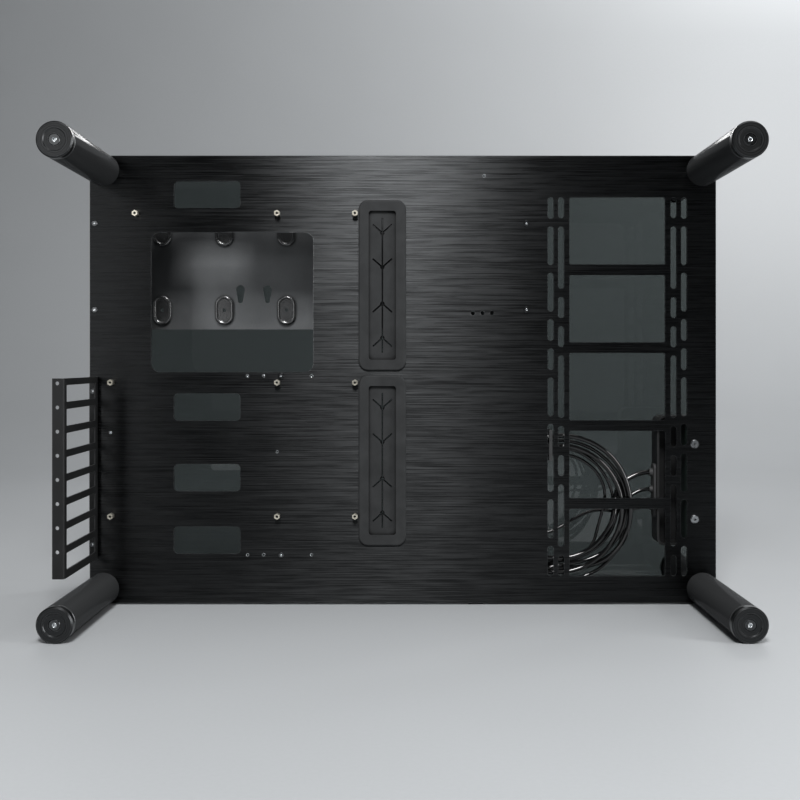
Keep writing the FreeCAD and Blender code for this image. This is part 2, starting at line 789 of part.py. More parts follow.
def post_fasteners():
    front = cap_screw("front_cap_screw", f"{CAP_SEAT} + dims.cap_screw_depth")
    rear = cap_screw("rear_cap_screw", f"{CAP_SEAT} + {GLASS_STACK} + dims.cap_screw_depth")
    screws = []
    for x, z in CORNERS.values():
        screws.append((front, x, f"-dims.front_post_length - {CAP_SEAT}", z, True))
        screws.append((rear, x, f"{REAR_GLASS_BACK} + dims.washer_thickness + {CAP_SEAT}", z, False))
    group("cap_screws", screws)

    stud = make_body("stud")
    radius, end = "dims.stud_diameter / 2", f"{PLATE_BACK} + dims.stud_depth"
    turn(stud, "stud_profile", [
        ("0", "-dims.stud_depth"),
        (radius, "-dims.stud_depth"),
        (radius, end),
        ("0", end),
    ])
    group("post_studs", [(stud, x, "0", z, False) for x, z in CORNERS.values()])


def rear_glass():
    body = plate_node("rear_glass", y=REAR_GLASS_FRONT)
    outline = front_drawing(body, "glass_outline")
    outline.rounded_block("0", "0", "dims.plate_width", "dims.plate_height", "dims.glass_corner")
    for x, z in CORNERS.values():
        outline.circle(x, z, "dims.glass_hole")
    pad(outline, "dims.glass_thickness", backwards=True)

    washer = make_body("washer")
    hole, rim = "dims.glass_hole / 2", "dims.washer_diameter / 2"
    turn(washer, "washer_profile", [
        (hole, "0"),
        (rim, "0"),
        (rim, "dims.washer_thickness"),
        (hole, "dims.washer_thickness"),
    ])
    group("glass_washers", [
        (washer, x, y, z, False) for x, z in CORNERS.values() for y in (REAR_POST_END, REAR_GLASS_BACK)
    ])


# Motherboard stand-offs


def motherboard_standoffs():
    body = make_body("standoff")
    flats = front_drawing(body, "standoff_flats")
    flats.hexagon("dims.standoff_hex")
    pad(flats, "dims.standoff_height")
    stud = front_drawing(body, "standoff_stud")
    stud.circle("0", "0", "dims.standoff_stud")
    pad(stud, PLATE_BACK, backwards=True)
    thread = front_drawing(body, "standoff_thread", "-dims.standoff_height")
    thread.circle("0", "0", "dims.standoff_thread")
    cut(thread, "dims.standoff_thread_depth")
    group("motherboard_standoffs", [(body, x, "0", z, False) for x, z in STANDOFFS])


# Slit rubber cable grommets

GROMMET_X = f"({LEFT} + dims.grommet_inset)"
GROMMETS = {
    "upper_cable_grommet": f"{TOP} - dims.upper_grommet_drop",
    "lower_cable_grommet": f"{TOP} - dims.lower_grommet_drop",
}
GROMMET_HOLE_WIDTH = "dims.grommet_width - 2 * dims.grommet_lip"
GROMMET_HOLE_HEIGHT = "dims.grommet_height - 2 * dims.grommet_lip"
GROMMET_HOLE_RADIUS = "dims.grommet_radius - dims.grommet_lip"
GROMMET_BACK = f"({PLATE_BACK} + dims.grommet_back_lip)"


def slit_arm(drawing, dot_z, side, up, width):
    """A bar of the given width from a dot to the side and up or down."""
    run, rise = f"{side} * dims.grommet_arm_x", f"{up} * dims.grommet_arm_z"
    length = "sqrt(dims.grommet_arm_x ^ 2 + dims.grommet_arm_z ^ 2)"
    across_x = f"{width} / 2 * {up} * dims.grommet_arm_z / {length}"
    across_z = f"{width} / 2 * {side} * dims.grommet_arm_x / {length}"
    near = f"{width} / 2 / {length}"
    drawing.polygon([
        (f"{near} * {run} + {across_x}", f"{dot_z} + {near} * {rise} - {across_z}"),
        (f"{run} + {across_x}", f"{dot_z} + {rise} - {across_z}"),
        (f"{run} - {across_x}", f"{dot_z} + {rise} + {across_z}"),
        (f"{near} * {run} - {across_x}", f"{dot_z} + {near} * {rise} + {across_z}"),
    ])


GROMMET_DOTS = [
    (f"{up} * dims.grommet_{row}_dot_z", up) for up in ("1", "-1") for row in ("inner", "outer")
]


def slit_pattern(body, name, place, width):
    """Drawings of one upright bar and of the arms that slant from it to the right and to the left."""
    bar = front_drawing(body, f"{name}_bar", place)
    bar.block("0", "0", width, "dims.grommet_slit_length")
    yield bar
    for label, side in (("right", "1"), ("left", "-1")):
        arms = front_drawing(body, f"{name}_{label}_arms", place)
        for dot_z, up in GROMMET_DOTS:
            slit_arm(arms, dot_z, side, up, width)
        yield arms


def cable_grommet(label, z):
    """A lip in front of the plate, a neck through it, a lip behind it and a grooved, slit skin across."""
    body = plate_node(label, GROMMET_X, "0", z)
    lip = front_drawing(body, f"{label}_lip", "-dims.grommet_proud")
    lip.rounded_block("0", "0", "dims.grommet_width", "dims.grommet_height", "dims.grommet_radius")
    front = pad(lip, "dims.grommet_proud", backwards=True)
    fillet(front, "dims.grommet_edge_round", edges_at("y", [("-dims.grommet_proud",)]))
    neck = front_drawing(body, f"{label}_neck")
    neck.rounded_block("0", "0", GROMMET_HOLE_WIDTH, GROMMET_HOLE_HEIGHT, GROMMET_HOLE_RADIUS)
    pad(neck, PLATE_BACK, backwards=True)
    back = front_drawing(body, f"{label}_back_lip", PLATE_BACK)
    back.rounded_block("0", "0", "dims.grommet_width - dims.grommet_lip",
                       "dims.grommet_height - dims.grommet_lip",
                       "dims.grommet_radius - dims.grommet_lip / 2")
    pad(back, "dims.grommet_back_lip", backwards=True)
    recess = front_drawing(body, f"{label}_recess", "-dims.grommet_proud")
    recess.rounded_block("0", "0", "dims.grommet_recess_width", "dims.grommet_recess_height",
                         "dims.grommet_recess_radius")
    skin = f"{GROMMET_BACK} - dims.grommet_membrane"
    cut(recess, f"dims.grommet_proud + {skin}")

    for groove in slit_pattern(body, f"{label}_groove", skin, "dims.grommet_groove"):
        cut(groove, "dims.grommet_groove_depth")
    dots = front_drawing(body, f"{label}_dots", skin)
    for dot_z, _ in GROMMET_DOTS:
        dots.circle("0", dot_z, "dims.grommet_dot")
    cut(dots, "dims.grommet_groove_depth")
    for slit in slit_pattern(body, f"{label}_slit", skin, "dims.grommet_slit"):
        cut(slit)


# Small screws


def pan_screw(name, shank, size, head_size, height, head_chamfer, hex_size, hex_depth):
    """A low round-headed socket screw with the seat of its head at the origin, head to the front."""
    body = make_body(name)
    shaft, head = f"{size} / 2", f"{head_size} / 2"
    turn(body, f"{name}_profile", [
        ("0", f"-{height}"),
        (f"{head} - {head_chamfer}", f"-{height}"),
        (head, f"-{height} + {head_chamfer}"),
        (head, "0"),
        (shaft, "0"),
        (shaft, shank),
        ("0", shank),
    ])
    socket = front_drawing(body, f"{name}_socket", f"-{height}")
    socket.hexagon(hex_size)
    cut(socket, hex_depth)
    return body


def small_screw(name, grip):
    """A small screw that passes its grip and stands out a little behind it."""
    return pan_screw(name, f"{grip} + dims.small_screw_past", "dims.small_screw", "dims.small_screw_head",
                     "dims.small_screw_head_height", "dims.small_screw_head_chamfer",
                     "dims.small_screw_hex", "dims.small_screw_hex_depth")


def small_screws():
    bracket = small_screw("bracket_screw", f"2 * dims.bracket_sheet + {PLATE_BACK}")
    group("bracket_screws", [(bracket, x, "-dims.bracket_sheet", z, False) for x, z in BRACKET_SCREWS])
    tray = small_screw("tray_screw", f"{PLATE_BACK} + dims.tray_sheet")
    group("drive_tray_screws", [(tray, x, "0", z, False) for x, z in TRAY_SCREWS])
    strap = small_screw("strap_screw", f"{PLATE_BACK} + dims.strap_sheet")
    group("supply_strap_screws", [(strap, STRAP_PLACE_IN_USE, "0", z, False) for z in STRAP_HOLES])
    panel = pan_screw("panel_screw", "dims.panel_screw_length", "dims.panel_screw", "dims.panel_screw_head",
                      "dims.panel_screw_head_height", "dims.panel_screw_head_chamfer",
                      "dims.panel_screw_hex", "dims.panel_screw_hex_depth")
    group("panel_screws", [(panel, x, "0", z, False) for x, z in PANEL_SCREWS])


# Expansion-card bracket, a channel folded from sheet


def expansion_bracket():
    body = plate_node("expansion_bracket")
    right, left = BRACKET_X, f"{BRACKET_X} - dims.bracket_sheet"
    near, behind_near = "-dims.bracket_depth", "-dims.bracket_depth + dims.bracket_sheet"
    flange_end, foot_end = f"{BRACKET_X} - dims.bracket_flange", f"{BRACKET_X} - dims.bracket_foot"
    foot = "-dims.bracket_sheet"
    channel = plan_drawing(body, "bracket_channel", BRACKET_BOTTOM)
    channel.polygon([
        (right, "0"), (right, near), (flange_end, near), (flange_end, behind_near),
        (left, behind_near), (left, foot), (foot_end, foot), (foot_end, "0"),
    ])
    folded = pad(channel, "dims.bracket_height")
    bend(folded, "xy", [(left, behind_near), (left, foot)], [(right, near), (right, "0")],
         "dims.bracket_bend", "dims.bracket_sheet")

    opening = side_drawing(body, "card_opening", right)
    length = "(dims.bracket_depth - dims.card_opening_near - dims.card_opening_far)"
    opening.block(f"-dims.card_opening_far - {length} / 2", f"{BRACKET_TOP} - dims.card_opening_drop",
                  length, "dims.card_opening_height")
    row = "dims.card_pitch * (dims.card_slots - 1)"
    repeat(cut(opening), opening, row, "dims.card_slots")
    hole = front_drawing(body, "card_hole", near)
    hole.circle(f"{BRACKET_X} - dims.card_hole_inset", f"{BRACKET_TOP} - dims.card_hole_drop",
                "dims.card_hole")
    repeat(cut(hole, "2 * dims.bracket_sheet"), hole, row, "dims.card_slots")
    screws = front_drawing(body, "bracket_screw_holes", foot)
    for x, z in BRACKET_SCREWS:
        screws.circle(x, z, SMALL_SCREW_HOLE)
    cut(screws)


# Drive tray, a bridge folded from sheet, and its rubber pads

TRAY_BACK = f"({PLATE_BACK} + dims.tray_depth)"
TRAY_FACE = f"({TRAY_BACK} - dims.tray_sheet)"


def pad_places():
    for column in range(int(value("dims.pad_columns"))):
        x = f"{TRAY_X} + ({column} - (dims.pad_columns - 1) / 2) * dims.pad_column_pitch"
        for side in "+-":
            yield x, f"{TRAY_Z} + dims.pad_offset {side} dims.pad_row_spacing / 2"


def drive_tray():
    body = plate_node("drive_tray")
    left, right = TRAY_LEFT, TRAY_RIGHT
    left_inside, right_inside = f"{left} + dims.tray_sheet", f"{right} - dims.tray_sheet"
    left_foot, right_foot = f"{left} + dims.tray_foot", f"{right} - dims.tray_foot"
    foot_back = f"{PLATE_BACK} + dims.tray_sheet"
    bridge = plan_drawing(body, "tray_bridge", f"{TRAY_Z} - dims.tray_height / 2")
    bridge.polygon([
        (left, PLATE_BACK), (left_foot, PLATE_BACK), (left_foot, foot_back), (left_inside, foot_back),
        (left_inside, TRAY_FACE), (right_inside, TRAY_FACE), (right_inside, foot_back),
        (right_foot, foot_back), (right_foot, PLATE_BACK), (right, PLATE_BACK),
        (right, TRAY_BACK), (left, TRAY_BACK),
    ])
    folded = pad(bridge, "dims.tray_height")
    inner = [(x, y) for x in (left_inside, right_inside) for y in (foot_back, TRAY_FACE)]
    outer = [(x, y) for x in (left, right) for y in (PLATE_BACK, TRAY_BACK)]
    bend(folded, "xy", inner, outer, "dims.tray_bend", "dims.tray_sheet")

    pads = front_drawing(body, "pad_openings", TRAY_FACE)
    for x, z in pad_places():
        pads.upright_slot(x, z, "dims.pad_width - 2 * dims.pad_neck", "dims.pad_height - 2 * dims.pad_neck")
    cut(pads)
    high = f"{TRAY_Z} + dims.keyhole_offset_z"
    low = f"{high} - dims.keyhole_drop"
    keyholes = [f"{TRAY_X} + dims.keyhole_offset_x {side} dims.keyhole_pitch / 2" for side in "+-"]
    for name, z, size in (
        ("keyhole_tops", high, "dims.keyhole_top"),
        ("keyhole_ends", low, "dims.keyhole_bottom"),
    ):
        ends = front_drawing(body, name, TRAY_FACE)
        for x in keyholes:
            ends.circle(x, z, size)
        cut(ends)
    tapers = front_drawing(body, "keyhole_tapers", TRAY_FACE)
    for x in keyholes:
        tapers.polygon([
            (f"{x} - dims.keyhole_bottom / 2", low),
            (f"{x} + dims.keyhole_bottom / 2", low),
            (f"{x} + dims.keyhole_top / 2", high),
            (f"{x} - dims.keyhole_top / 2", high),
        ])
    cut(tapers)
    screws = front_drawing(body, "tray_screw_holes", PLATE_BACK)
    for x, z in TRAY_SCREWS:
        screws.circle(x, z, SMALL_SCREW_HOLE)
    cut(screws, "2 * dims.tray_sheet")


def drive_pads():
    body = make_body("drive_pad")
    face = front_drawing(body, "pad_face", "-dims.pad_raised")
    face.upright_slot("0", "0", "dims.pad_width", "dims.pad_height")
    pad(face, "dims.pad_raised", backwards=True)
    inside = front_drawing(body, "pad_inside", "-dims.pad_raised")
    inside.upright_slot("0", "0", "dims.pad_width - 2 * dims.pad_rim", "dims.pad_height - 2 * dims.pad_rim")
    rim = cut(inside, "dims.pad_rim_height")
    fillet(rim, "dims.pad_edge_round", edges_at("y", [("-dims.pad_raised",)]))
    neck = front_drawing(body, "pad_neck")
    shrink = "2 * (dims.pad_neck + dims.pad_neck_clearance)"
    neck.upright_slot("0", "0", f"dims.pad_width - {shrink}", f"dims.pad_height - {shrink}")
    pad(neck, "dims.tray_sheet", backwards=True)
    lip = front_drawing(body, "pad_lip", "dims.tray_sheet")
    lip.upright_slot("0", "0", "dims.pad_width - dims.pad_neck", "dims.pad_height - dims.pad_neck")
    pad(lip, "dims.pad_back_lip", backwards=True)
    hole = front_drawing(body, "pad_hole", "-dims.pad_raised")
    hole.circle("0", "0", "dims.pad_hole")
    cut(hole)
    group("drive_pads", [(body, x, TRAY_FACE, z, False) for x, z in pad_places()])


# Power supply bracket and strap

SUPPLY_FRONT = f"({PLATE_BACK} + dims.supply_gap)"
SUPPLY_BACK = f"({SUPPLY_FRONT} + dims.supply_depth)"
SUPPLY_BRACKET_BACK = f"({SUPPLY_BACK} + dims.supply_margin)"


def supply_bracket():
    body = plate_node("supply_bracket")
    right, left = BRACKET_X, f"{BRACKET_X} - dims.bracket_sheet"
    foot_back, foot_end = f"{PLATE_BACK} + dims.bracket_sheet", f"{BRACKET_X} - dims.bracket_foot"
    angle = plan_drawing(body, "supply_angle", BRACKET_BOTTOM)
    angle.polygon([
        (right, PLATE_BACK), (right, SUPPLY_BRACKET_BACK), (left, SUPPLY_BRACKET_BACK),
        (left, foot_back), (foot_end, foot_back), (foot_end, PLATE_BACK),
    ])
    folded = pad(angle, "dims.bracket_height")
    bend(folded, "xy", [(left, foot_back)], [(right, PLATE_BACK)], "dims.bracket_bend", "dims.bracket_sheet")
    opening = side_drawing(body, "supply_opening", right)
    opening.rounded_block(f"{SUPPLY_FRONT} + dims.supply_depth / 2", SUPPLY_Z,
                          "dims.supply_opening_depth", "dims.supply_opening_width",
                          "dims.supply_opening_radius")
    for depth, height in SUPPLY_HOLES:
        opening.circle(f"{SUPPLY_FRONT} + {depth}", f"{SUPPLY_Z} - dims.supply_width / 2 + {height}",
                       "dims.supply_hole")
    cut(opening)
    screws = front_drawing(body, "supply_screw_holes", PLATE_BACK)
    for x, z in BRACKET_SCREWS:
        screws.circle(x, z, SMALL_SCREW_HOLE)
    cut(screws)


def supply_strap():
    """A hoop over the inner end of the supply, on one of four pairs of holes."""
    body = plate_node("supply_strap")
    middle, thick = SUPPLY_Z, "dims.strap_sheet"
    half = "(dims.supply_width / 2 + dims.strap_play / 2)"
    reach = "(dims.strap_hole_spacing / 2 + dims.strap_foot_reach)"
    foot_back = f"{PLATE_BACK} + {thick}"
    inside, outside = f"{SUPPLY_BACK} + dims.strap_play", f"{SUPPLY_BACK} + dims.strap_play + {thick}"
    inner_top, inner_low = f"{middle} + {half}", f"{middle} - {half}"
    outer_top, outer_low = f"{middle} + {half} + {thick}", f"{middle} - {half} - {thick}"
    foot_top, foot_low = f"{middle} + {reach}", f"{middle} - {reach}"
    hoop = side_drawing(body, "strap_hoop", f"{STRAP_PLACE_IN_USE} - dims.strap_width / 2")
    hoop.polygon([
        (PLATE_BACK, foot_top), (PLATE_BACK, inner_top), (inside, inner_top), (inside, inner_low),
        (PLATE_BACK, inner_low), (PLATE_BACK, foot_low), (foot_back, foot_low), (foot_back, outer_low),
        (outside, outer_low), (outside, outer_top), (foot_back, outer_top), (foot_back, foot_top),
    ])
    folded = pad(hoop, "dims.strap_width")
    inner = [(inside, inner_top), (inside, inner_low), (foot_back, outer_low), (foot_back, outer_top)]
    outer = [(outside, outer_low), (outside, outer_top), (PLATE_BACK, inner_top), (PLATE_BACK, inner_low)]
    bend(folded, "yz", inner, outer, "dims.strap_bend", "dims.strap_sheet")
    screws = front_drawing(body, "strap_screw_holes", PLATE_BACK)
    for z in STRAP_HOLES:
        screws.circle(STRAP_PLACE_IN_USE, z, SMALL_SCREW_HOLE)
    cut(screws)


# Front panel module

PANEL_BACK = f"({PLATE_BACK} + dims.panel_depth)"
PANEL_Y = f"({PLATE_BACK} + dims.panel_depth / 2)"
PANEL_X = f"({PANEL_RIGHT} - dims.panel_width / 2)"
PANEL_Z = f"({PANEL_BOTTOM} + dims.panel_height / 2)"
PANEL_FACE_INSIDE = f"({PANEL_RIGHT} - dims.panel_wall)"
BOARD_BACK = f"({PANEL_RIGHT} - dims.board_inset)"
BOARD_FACE = f"({BOARD_BACK} + dims.board_thickness)"
SOCKET_LENGTH = f"({PANEL_RIGHT} - {BOARD_FACE})"
DATA_SOCKETS = {
    "upper": f"{PANEL_BOTTOM} + dims.upper_data_rise",
    "lower": f"{PANEL_BOTTOM} + dims.lower_data_rise",
}
SOUND_JACKS = {
    "headphone": f"{PANEL_BOTTOM} + dims.headphone_rise",
    "microphone": f"{PANEL_BOTTOM} + dims.microphone_rise",
}
BUTTONS = {
    "power": ("dims.power_button", f"{PANEL_BOTTOM} + dims.power_button_rise"),
    "reset": ("dims.reset_button", f"{PANEL_BOTTOM} + dims.reset_button_rise"),
}


def panel_housing():
    body = plate_node("panel_housing")
    outside = front_drawing(body, "panel_outside", PLATE_BACK)
    outside.rounded_block(PANEL_X, PANEL_Z, "dims.panel_width", "dims.panel_height", "dims.panel_corner")
    pad(outside, "dims.panel_depth", backwards=True)
    inside = front_drawing(body, "panel_inside", PLATE_BACK)
    inside.rounded_block(PANEL_X, PANEL_Z, "dims.panel_width - 2 * dims.panel_wall",
                         "dims.panel_height - 2 * dims.panel_wall", "dims.panel_inner_corner")
    cut(inside, "dims.panel_depth - dims.panel_wall")
    bosses = front_drawing(body, "panel_bosses", PLATE_BACK)
    bores = front_drawing(body, "panel_bores", PLATE_BACK)
    for x, z in PANEL_SCREWS:
        bosses.circle(x, z, "dims.panel_boss")
        bores.circle(x, z, "dims.panel_screw + 2 * dims.thread_clearance")
    pad(bosses, "dims.panel_depth - dims.panel_wall", backwards=True)
    cut(bores, f"dims.panel_screw_length - {PLATE_BACK}")

    face = side_drawing(body, "panel_face", PANEL_RIGHT)
    for z in DATA_SOCKETS.values():
        face.block(PANEL_Y, z, "dims.data_socket_height + 2 * dims.panel_clearance",
                   "dims.data_socket_width + 2 * dims.panel_clearance")
    for z in SOUND_JACKS.values():
        face.circle(PANEL_Y, z, "dims.sound_jack_nose + 2 * dims.panel_clearance")
    for size, z in BUTTONS.values():
        face.circle(PANEL_Y, z, f"{size} + 2 * dims.button_clearance")
    cut(face, "dims.panel_wall")


def panel_board():
    body = plate_node("panel_board")
    outline = side_drawing(body, "board_outline", BOARD_BACK)
    near, far = f"{PLATE_BACK} + dims.board_margin", f"{PANEL_BACK} - dims.panel_wall"
    low = f"{PANEL_BOTTOM} + dims.panel_wall + dims.board_margin"
    high = f"{PANEL_TOP} - dims.panel_wall - dims.board_margin"
    outline.polygon([(near, low), (far, low), (far, high), (near, high)])
    pad(outline, "dims.board_thickness")


def data_socket(label, z):
    """A metal shell on the board, open towards the panel's face, with its tongue."""
    body = plate_node(f"{label}_data_socket", BOARD_FACE, PANEL_Y, z)
    width, height = "dims.data_socket_width", "dims.data_socket_height"
    shell = side_drawing(body, f"{label}_shell")
    shell.block("0", "0", height, width)
    pad(shell, SOCKET_LENGTH)
    hollow = side_drawing(body, f"{label}_hollow", SOCKET_LENGTH)
    hollow.block("0", "0", f"{height} - 2 * dims.data_socket_wall", f"{width} - 2 * dims.data_socket_wall")
    cut(hollow, f"{SOCKET_LENGTH} - dims.data_socket_floor")
    tongue = plate_node(f"{label}_data_tongue", f"{BOARD_FACE} + dims.data_socket_floor", PANEL_Y, z)
    blade = side_drawing(tongue, f"{label}_blade")
    blade.block("dims.data_socket_height / 2 - dims.data_socket_wall - dims.data_tongue / 2", "0",
                "dims.data_tongue", "dims.data_tongue_width")
    pad(blade, f"{SOCKET_LENGTH} - dims.data_socket_floor - dims.data_tongue_setback")


def sound_jack(label, z):
    body = plate_node(f"{label}_jack", BOARD_FACE, PANEL_Y, z)
    case = side_drawing(body, f"{label}_case")
    case.block("0", "0", "dims.sound_jack_body", "dims.sound_jack_body")
    pad(case, f"{PANEL_FACE_INSIDE} - {BOARD_FACE}")
    nose = side_drawing(body, f"{label}_nose", f"{PANEL_FACE_INSIDE} - {BOARD_FACE}")
    nose.circle("0", "0", "dims.sound_jack_nose")
    pad(nose, "dims.panel_wall")
    bore = side_drawing(body, f"{label}_bore", SOCKET_LENGTH)
    bore.circle("0", "0", "dims.sound_jack_bore")
    cut(bore, "dims.sound_jack_bore_depth")


def button_and_switch(label, size, z):
    """A button in the panel's face that presses the plunger of a switch on the board."""
    flange_front = f"({PANEL_FACE_INSIDE} - dims.button_clearance)"
    flange_back = f"({flange_front} - dims.button_flange_height)"
    stem_end = (
        f"({BOARD_FACE} + dims.switch_height + dims.switch_plunger_height"
        " + dims.button_travel + dims.button_rest_gap)"
    )
    top = f"({PANEL_RIGHT} + dims.button_proud)"
    radius, stem = f"{size} / 2", "dims.button_stem / 2"
    flange = f"{size} / 2 + dims.button_flange"
    button = plate_node(f"{label}_button", "0", PANEL_Y, z)
    turn(button, f"{label}_button_profile", [
        (stem_end, "0"),
        (top, "0"),
        (top, f"{radius} - dims.button_chamfer"),
        (f"{top} - dims.button_chamfer", radius),
        (flange_front, radius),
        (flange_front, flange),
        (flange_back, flange),
        (flange_back, stem),
        (stem_end, stem),
    ], axis="H_Axis")
    switch = plate_node(f"{label}_switch", BOARD_FACE, PANEL_Y, z)
    case = side_drawing(switch, f"{label}_switch_case")
    case.block("0", "0", "dims.switch_size", "dims.switch_size")
    pad(case, "dims.switch_height")
    plunger = side_drawing(switch, f"{label}_plunger", "dims.switch_height")
    plunger.circle("0", "0", "dims.switch_plunger")
    pad(plunger, "dims.switch_plunger_height")


def front_panel():
    panel_housing()
    panel_board()
    for label, z in DATA_SOCKETS.items():
        data_socket(label, z)
    for label, z in SOUND_JACKS.items():
        sound_jack(label, z)
    for label, (size, z) in BUTTONS.items():
        button_and_switch(label, size, z)


# Cables: an outlet on the module, three leads, one coil tied to the plate, and connectors

OUTLETS = {
    "data": ("dims.data_cable", f"({PANEL_BOTTOM} + dims.data_outlet_rise)"),
    "sound": ("dims.sound_cable", f"({PANEL_BOTTOM} + dims.sound_outlet_rise)"),
    "switch": ("dims.switch_cable", f"({PANEL_BOTTOM} + dims.switch_outlet_rise)"),
}
COIL_FRONT = f"({PLATE_BACK} + dims.coil_gap)"
# Route points in the plate's frame, as (x, y, z): a lead from outlet to coil, a tail from coil to connector
DATA_LEAD = [
    (233, 15.5, -88), (226.5, 15.5, -88), (214.5, 15, -92.8), (204.4, 14.2, -99.6), (200.4, 11, -109),
]
DATA_TAIL = [
    (152, 10, -177), (138, 11, -178.6), (124.5, 14.5, -184), (112, 19.5, -192.5),
    (100, 25.5, -201), (87.5, 30.5, -206), (75.5, 30.5, -206),
]
SOUND_LEAD = [
    (233, 15.5, -104), (226, 15.5, -104), (215, 15, -110), (206.4, 14.1, -116.4),
    (202.6, 10.5, -122.6),
]
SOUND_TAIL = [
    (150, 7, -174), (137, 7.2, -176.4), (124.5, 7.8, -182.8), (113, 8.6, -192),
    (101, 9.6, -201), (88, 10.5, -207.5), (75.5, 10.5, -207.5),
]
SWITCH_LEAD = [
    (233, 15.5, -121), (226, 15.5, -121), (214, 17, -124.6), (202.5, 19.2, -126.3), (190, 20, -124),
    (177, 18.5, -125.3), (164.5, 15.5, -130.5), (151.5, 12.5, -138), (136.5, 10.5, -144.6),
    (120, 9.5, -148.5), (104, 9.8, -147),
]
SWITCH_TAIL = [
    (147, 12.5, -172), (134, 14.5, -174.8), (122, 19.5, -181.5), (111, 27.5, -191),
    (100, 36.5, -200.5), (88, 45, -207), (74, 49, -208), (61, 49, -208),
]


def tube(points, diameter):
    """A round tube along straight runs joined by tangent arcs, each as large as its runs allow."""
    corners = [FreeCAD.Vector(*point) for point in points]
    edges, radii = [], []
    run_share = 0.45
    start = corners[0]
    for before, corner, after in zip(corners, corners[1:], corners[2:]):
        into, out = (corner - before).normalize(), (after - corner).normalize()
        half = into.getAngle(out) / 2
        reach = run_share * min((corner - before).Length, (after - corner).Length)
        radii.append(reach / math.tan(half))
        first, last = corner - into * reach, corner + out * reach
        inward = (out - into).normalize()
        middle = corner + inward * (radii[-1] / math.cos(half) - radii[-1])
        edges.append(Part.LineSegment(start, first).toShape())
        edges.append(Part.Arc(first, middle, last).toShape())
        start = last
    edges.append(Part.LineSegment(start, corners[-1]).toShape())
    path = Part.Wire(edges)
    section = Part.Wire(Part.Circle(corners[0], corners[1] - corners[0], diameter / 2).toShape())
    solid = path.makePipeShell([section], True, False)
    error = solid.Volume / (math.pi * diameter ** 2 / 4 * path.Length) - 1
    print(f"tube of {path.Length:.1f} mm, radii {[round(r, 1) for r in radii]}, volume off by {error:.2%}")
    return solid


def cable(label, diameter, *routes):
    """The stretches of one cable that are not wound in the coil."""
    node = doc.addObject("Part::Feature", label)
    node.Label = label
    node.Shape = Part.makeCompound([tube(route, value(diameter)) for route in routes])
    node.Placement.Base = FreeCAD.Vector(0, value(PLATE_FRONT), value(PLATE_MIDDLE))
    nodes.append(node)


def cable_outlet():
    """A soft strip on the module's inner side, with a tapered sleeve for each cable."""
    body = plate_node("cable_outlet", PANEL_LEFT, PANEL_Y)
    places = [z for _, z in OUTLETS.values()]
    strip = side_drawing(body, "outlet_strip", "-dims.outlet_base")
    strip.rounded_block("0", f"({places[0]} + {places[-1]}) / 2", "dims.outlet_width",
                        f"{places[0]} - ({places[-1]}) + 2 * dims.outlet_margin", "dims.outlet_corner")
    pad(strip, "dims.outlet_base")
    sleeves = side_drawing(body, "outlet_sleeves", "-dims.outlet_base")
    for size, z in OUTLETS.values():
        spread = "2 * dims.outlet_nozzle * tan(dims.outlet_taper)"
        sleeves.circle("0", z, f"{size} + 2 * dims.outlet_nozzle_wall + {spread}")
    pad(sleeves, "dims.outlet_nozzle", backwards=True, taper="dims.outlet_taper")


def cable_coil():
    """The outer form of the wound turns, one closed ring against the back of the plate."""
    body = plate_node("cable_coil", "dims.coil_x", COIL_FRONT, "dims.coil_z")
    inner, outer = "dims.coil_inner_radius", "dims.coil_outer_radius"
    thick, corner = "dims.coil_thickness", "dims.coil_corner"
    turn(body, "coil_profile", [
        (f"{inner} + {corner}", "0"),
        (f"{outer} - {corner}", "0"),
        (outer, corner),
        (outer, f"{thick} - {corner}"),
        (f"{outer} - {corner}", thick),
        (f"{inner} + {corner}", thick),
        (inner, f"{thick} - {corner}"),
        (inner, corner),
    ])


def coil_tie():
    """A band through two fan slots, round the web between them and the turns behind it."""
    body = plate_node("coil_tie", "dims.tie_x - dims.tie_width / 2")
    thick = "dims.tie_thickness"
    back = f"({COIL_FRONT} + dims.coil_thickness + dims.coil_gap)"
    band = side_drawing(body, "tie_band")
    for grow in ("0", thick):
        band.block(f"{back} / 2", "(dims.tie_top_z + dims.tie_bottom_z) / 2", f"{back} + 2 * {grow}",
                   f"dims.tie_top_z - (dims.tie_bottom_z) + 2 * {grow}")
    pad(band, "dims.tie_width")
    head = side_drawing(body, "tie_head", "(dims.tie_width - dims.tie_head) / 2")
    head.block(f"{back} + dims.tie_head_depth / 2", "dims.tie_bottom_z + dims.tie_head",
               "dims.tie_head_depth", "dims.tie_head")
    pad(head, "dims.tie_head")


def connector(label, route):
    """A plug at the end of a tail, lying on the floor with its open end to the left."""
    length, width, height = (f"dims.{label}_connector_{side}" for side in ("length", "width", "height"))
    end_x, end_y = (str(number) for number in route[-1][:2])
    body = plate_node(f"{label}_connector", end_x, end_y, f"-{PLATE_MIDDLE} + {height} / 2")
    case = side_drawing(body, f"{label}_connector_case", f"-{length}")
    case.block("0", "0", width, height)
    moulded = pad(case, length)
    fillet(moulded, "dims.connector_round", edges_at("x", [("0",)]))
    socket = side_drawing(body, f"{label}_connector_socket", f"-{length}")
    wall = "2 * dims.connector_socket_wall"
    socket.block("0", "0", f"{width} - {wall}", f"{height} - {wall}")
    cut(socket, "dims.connector_socket_depth", backwards=True)


def cables():
    cable_outlet()
    cable("data_cable", "dims.data_cable", DATA_LEAD, DATA_TAIL)
    cable("sound_cable", "dims.sound_cable", SOUND_LEAD, SOUND_TAIL)
    cable("switch_cable", "dims.switch_cable", SWITCH_LEAD, SWITCH_TAIL)
    cable_coil()
    coil_tie()
    connector("data", DATA_TAIL)
    connector("sound", SOUND_TAIL)
    connector("switch", SWITCH_TAIL)


